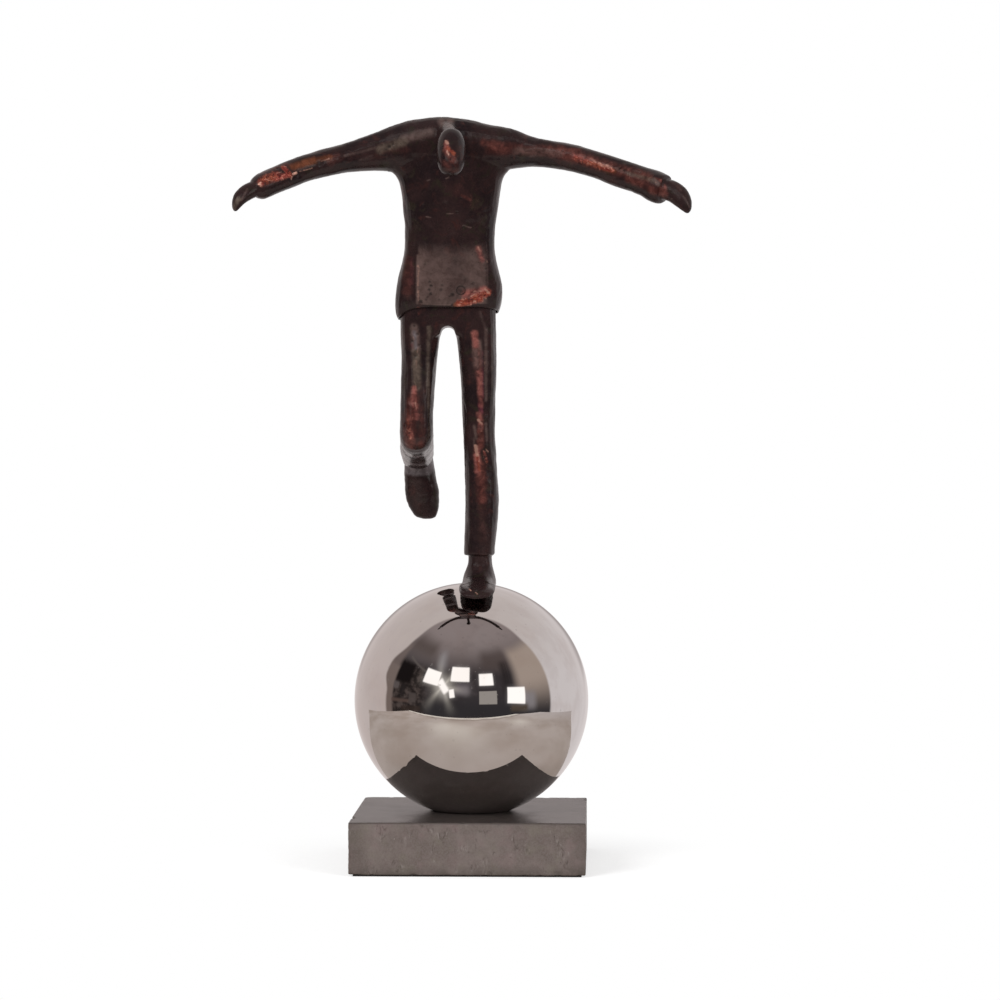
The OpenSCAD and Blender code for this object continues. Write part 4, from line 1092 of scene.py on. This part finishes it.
# Painted highlights: glints of pale copper on the bright places.
bright = broken(notes["bright"], 0.22, 1.0, 1.5, torn)
colour = mix(bright, colour, (0.66, 0.36, 0.28))
dark = larger(notes["hollow"], times(specks, 0.5))
colour = over(colour, dark, (0.010, 0.007, 0.007), 0.8)
put(colour, shader["Base Color"])
put(times(larger(copper, bright), 0.6), shader["Metallic"])
put(scaled(notes["painted_sheen"], 0.08, ramp(cloud, 0.3, 0.7, 0.17, 0.29)), shader["Roughness"])
level = scaled(specks, -0.6, grain)
level = scaled(copper, times(torn, 4.0), level)
put(add("Bump", {"Height": level, "Strength": 0.14, "Distance": 0.0002}), shader["Normal"])
print("dark_bronze nodes:", len(tree.nodes))

# %% [markdown]
# ## Cutting the skins at the seams
# Each cast section ends where its dowel or pin crosses the seam, so the dowel gives the
# cutting plane: through its middle, square to its length. The neck is cut just in front of
# the shoulders and the ankle where the trouser leg ends. The skin's own normals are kept on
# the cut pieces, so a seam that is chased away on the real bronze doesn't show here either.
# The stud's bore in the standing leg comes off as a loose tube, which is left out.

# %% Seam planes
def points_of(name):
    return np.array([v.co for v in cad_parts[name].data.vertices])


def middle(points):
    return Vector(points.min(0) / 2 + points.max(0) / 2)


def dowel_seam(name, reach):
    """A plane through the middle of a dowel and square to it, and how far it cuts."""
    points = points_of(name)
    axis = np.linalg.svd(points - points.mean(0), full_matrices=False)[2][0]
    return middle(points), Vector(axis), reach


# The neck runs from the back 4 mm of the head to its front 12 mm, the egg of the head, and
# is cut 12.5 mm in front of the shoulder dowels.
head = points_of("head")
neck_back = middle(head[head[:, 1] > head[:, 1].max() - 0.004])
egg_middle = middle(head[head[:, 1] < head[:, 1].min() + 0.012])
neck_axis = (egg_middle - neck_back).normalized()
neck_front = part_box("right_shoulder_dowel")[0].y - 0.0125
neck_centre = neck_back + neck_axis * (neck_front - neck_back.y) / neck_axis.y
leg_middle, shoe_middle = box_middle("standing_leg"), box_middle("standing_shoe")
ankle = Vector((leg_middle.x, shoe_middle.y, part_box("standing_leg")[0].z))

# Each seam cuts only the faces within a reach of its middle, about as wide as the limb.
upper_seams = [dowel_seam("right_shoulder_dowel", 0.016), dowel_seam("left_shoulder_dowel", 0.016),
               dowel_seam("right_wrist_pin", 0.009), dowel_seam("left_wrist_pin", 0.009),
               (neck_centre, neck_axis, 0.009)]
lower_seams = [dowel_seam("standing_hip_dowel", 0.0155), dowel_seam("raised_hip_dowel", 0.0155),
               dowel_seam("knee_pin", 0.015), dowel_seam("raised_ankle_pin", 0.012),
               (ankle, Vector((0, 0, 1)), 0.022)]
for centre, axis, reach in upper_seams + lower_seams:
    print("seam at", [round(v / MM, 1) for v in centre], "square to",
          [round(v, 2) for v in axis])

# %% Cut piece helpers
def keep_skin_normals(data, flat_faces):
    skin_normals = np.empty(len(data.vertices) * 3)
    data.attributes["skin_normal"].data.foreach_get("vector", skin_normals)
    normals = skin_normals.reshape(-1, 3)[corner_vertices(data)]
    for index in flat_faces:
        face = data.polygons[index]
        normals[list(face.loop_indices)] = face.normal
    data.normals_split_custom_set(normals)
    data.attributes.remove(data.attributes["skin_normal"])


def open_edges(data):
    bm = bmesh.new()
    bm.from_mesh(data)
    count = sum(not e.is_manifold for e in bm.edges)
    bm.free()
    return count


# %% Cut pieces
def cut_skin(bm, seams, names):
    """Splits a skin at its seams, closes the ends, and makes a piece for each CAD section."""
    for centre, axis, reach in seams:
        near = [f for f in bm.faces if (f.calc_center_median() - centre).length < reach]
        around = {part for f in near for part in (*f.verts, *f.edges, f)}
        cut = bmesh.ops.bisect_plane(bm, geom=list(around), dist=1e-7,
                                     plane_co=centre, plane_no=axis)
        bmesh.ops.split_edges(bm, edges=[
            part for part in cut["geom_cut"] if isinstance(part, bmesh.types.BMEdge)])
    section = bm.verts.layers.int.new("section")
    parts = [part for part in islands(bm) if len(part) > 50]
    middles = {name: np.mean(points_of(name), axis=0) for name in names}
    for number, part in enumerate(parts, 1):
        for v in part:
            v[section] = number
    made_names = []
    for number, part in enumerate(parts, 1):
        place = np.mean([v.co for v in part], axis=0)
        name = min(names, key=lambda n: np.linalg.norm(middles[n] - place))
        if name in made_names:
            print("  left out a bore of", len(part), "points inside", name)
            continue
        made_names.append(name)
        piece = bm.copy()
        label = piece.verts.layers.int["section"]
        bmesh.ops.delete(piece, geom=[v for v in piece.verts if v[label] != number],
                         context="VERTS")
        ends = bmesh.ops.holes_fill(
            piece, edges=[e for e in piece.edges if e.is_boundary], sides=0)["faces"]
        bmesh.ops.recalc_face_normals(piece, faces=piece.faces)
        piece.faces.index_update()
        ends = [f.index for f in ends]
        piece.verts.layers.int.remove(label)
        made = make_piece("cast_" + name, piece, "bronze", bronze, name)
        keep_skin_normals(made.data, ends)
        print("  ends closed:", len(ends), "open edges:", open_edges(made.data))
    bm.free()


cut_skin(upper_skin, upper_seams, upper_names)
cut_skin(lower_skin, lower_seams, lower_names)

# %% [markdown]
# ## Hidden steel
# The bolt, washers, bosses, stud, dowels and pins stay as the CAD has them. Turned steel
# shows fine rings round its axis and a dull oil film.

# %% Turned steel
turned, tree, shader = principled(
    "turned_steel", Base_Color=(0.42, 0.42, 0.43, 1), Metallic=1.0, Roughness=0.35)
place = add("TexCoord").outputs["Object"]
cut_marks = add("TexWave", {"Vector": place, "Scale": 900.0, "Distortion": 1.2, "Detail": 2.0},
                bands_direction="Z")
film = use(handling, Place=place, Streak_length=0.01, Smudge_size=0.006)["Smudges"]
put(mix(film, (0.45, 0.45, 0.46), (0.33, 0.32, 0.31)), shader["Base Color"])
put(scaled(film, 0.18, ramp(cut_marks, 0.0, 1.0, 0.26, 0.36)), shader["Roughness"])
put(add("Bump", {"Height": cut_marks, "Strength": 0.2, "Distance": 0.0001}),
    shader["Normal"])
for name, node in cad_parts.items():
    if any(word in name for word in ("bolt", "washer", "boss", "stud", "dowel", "pin")):
        node.data.materials.clear()
        node.data.materials.append(turned)
        print("turned steel on", name)
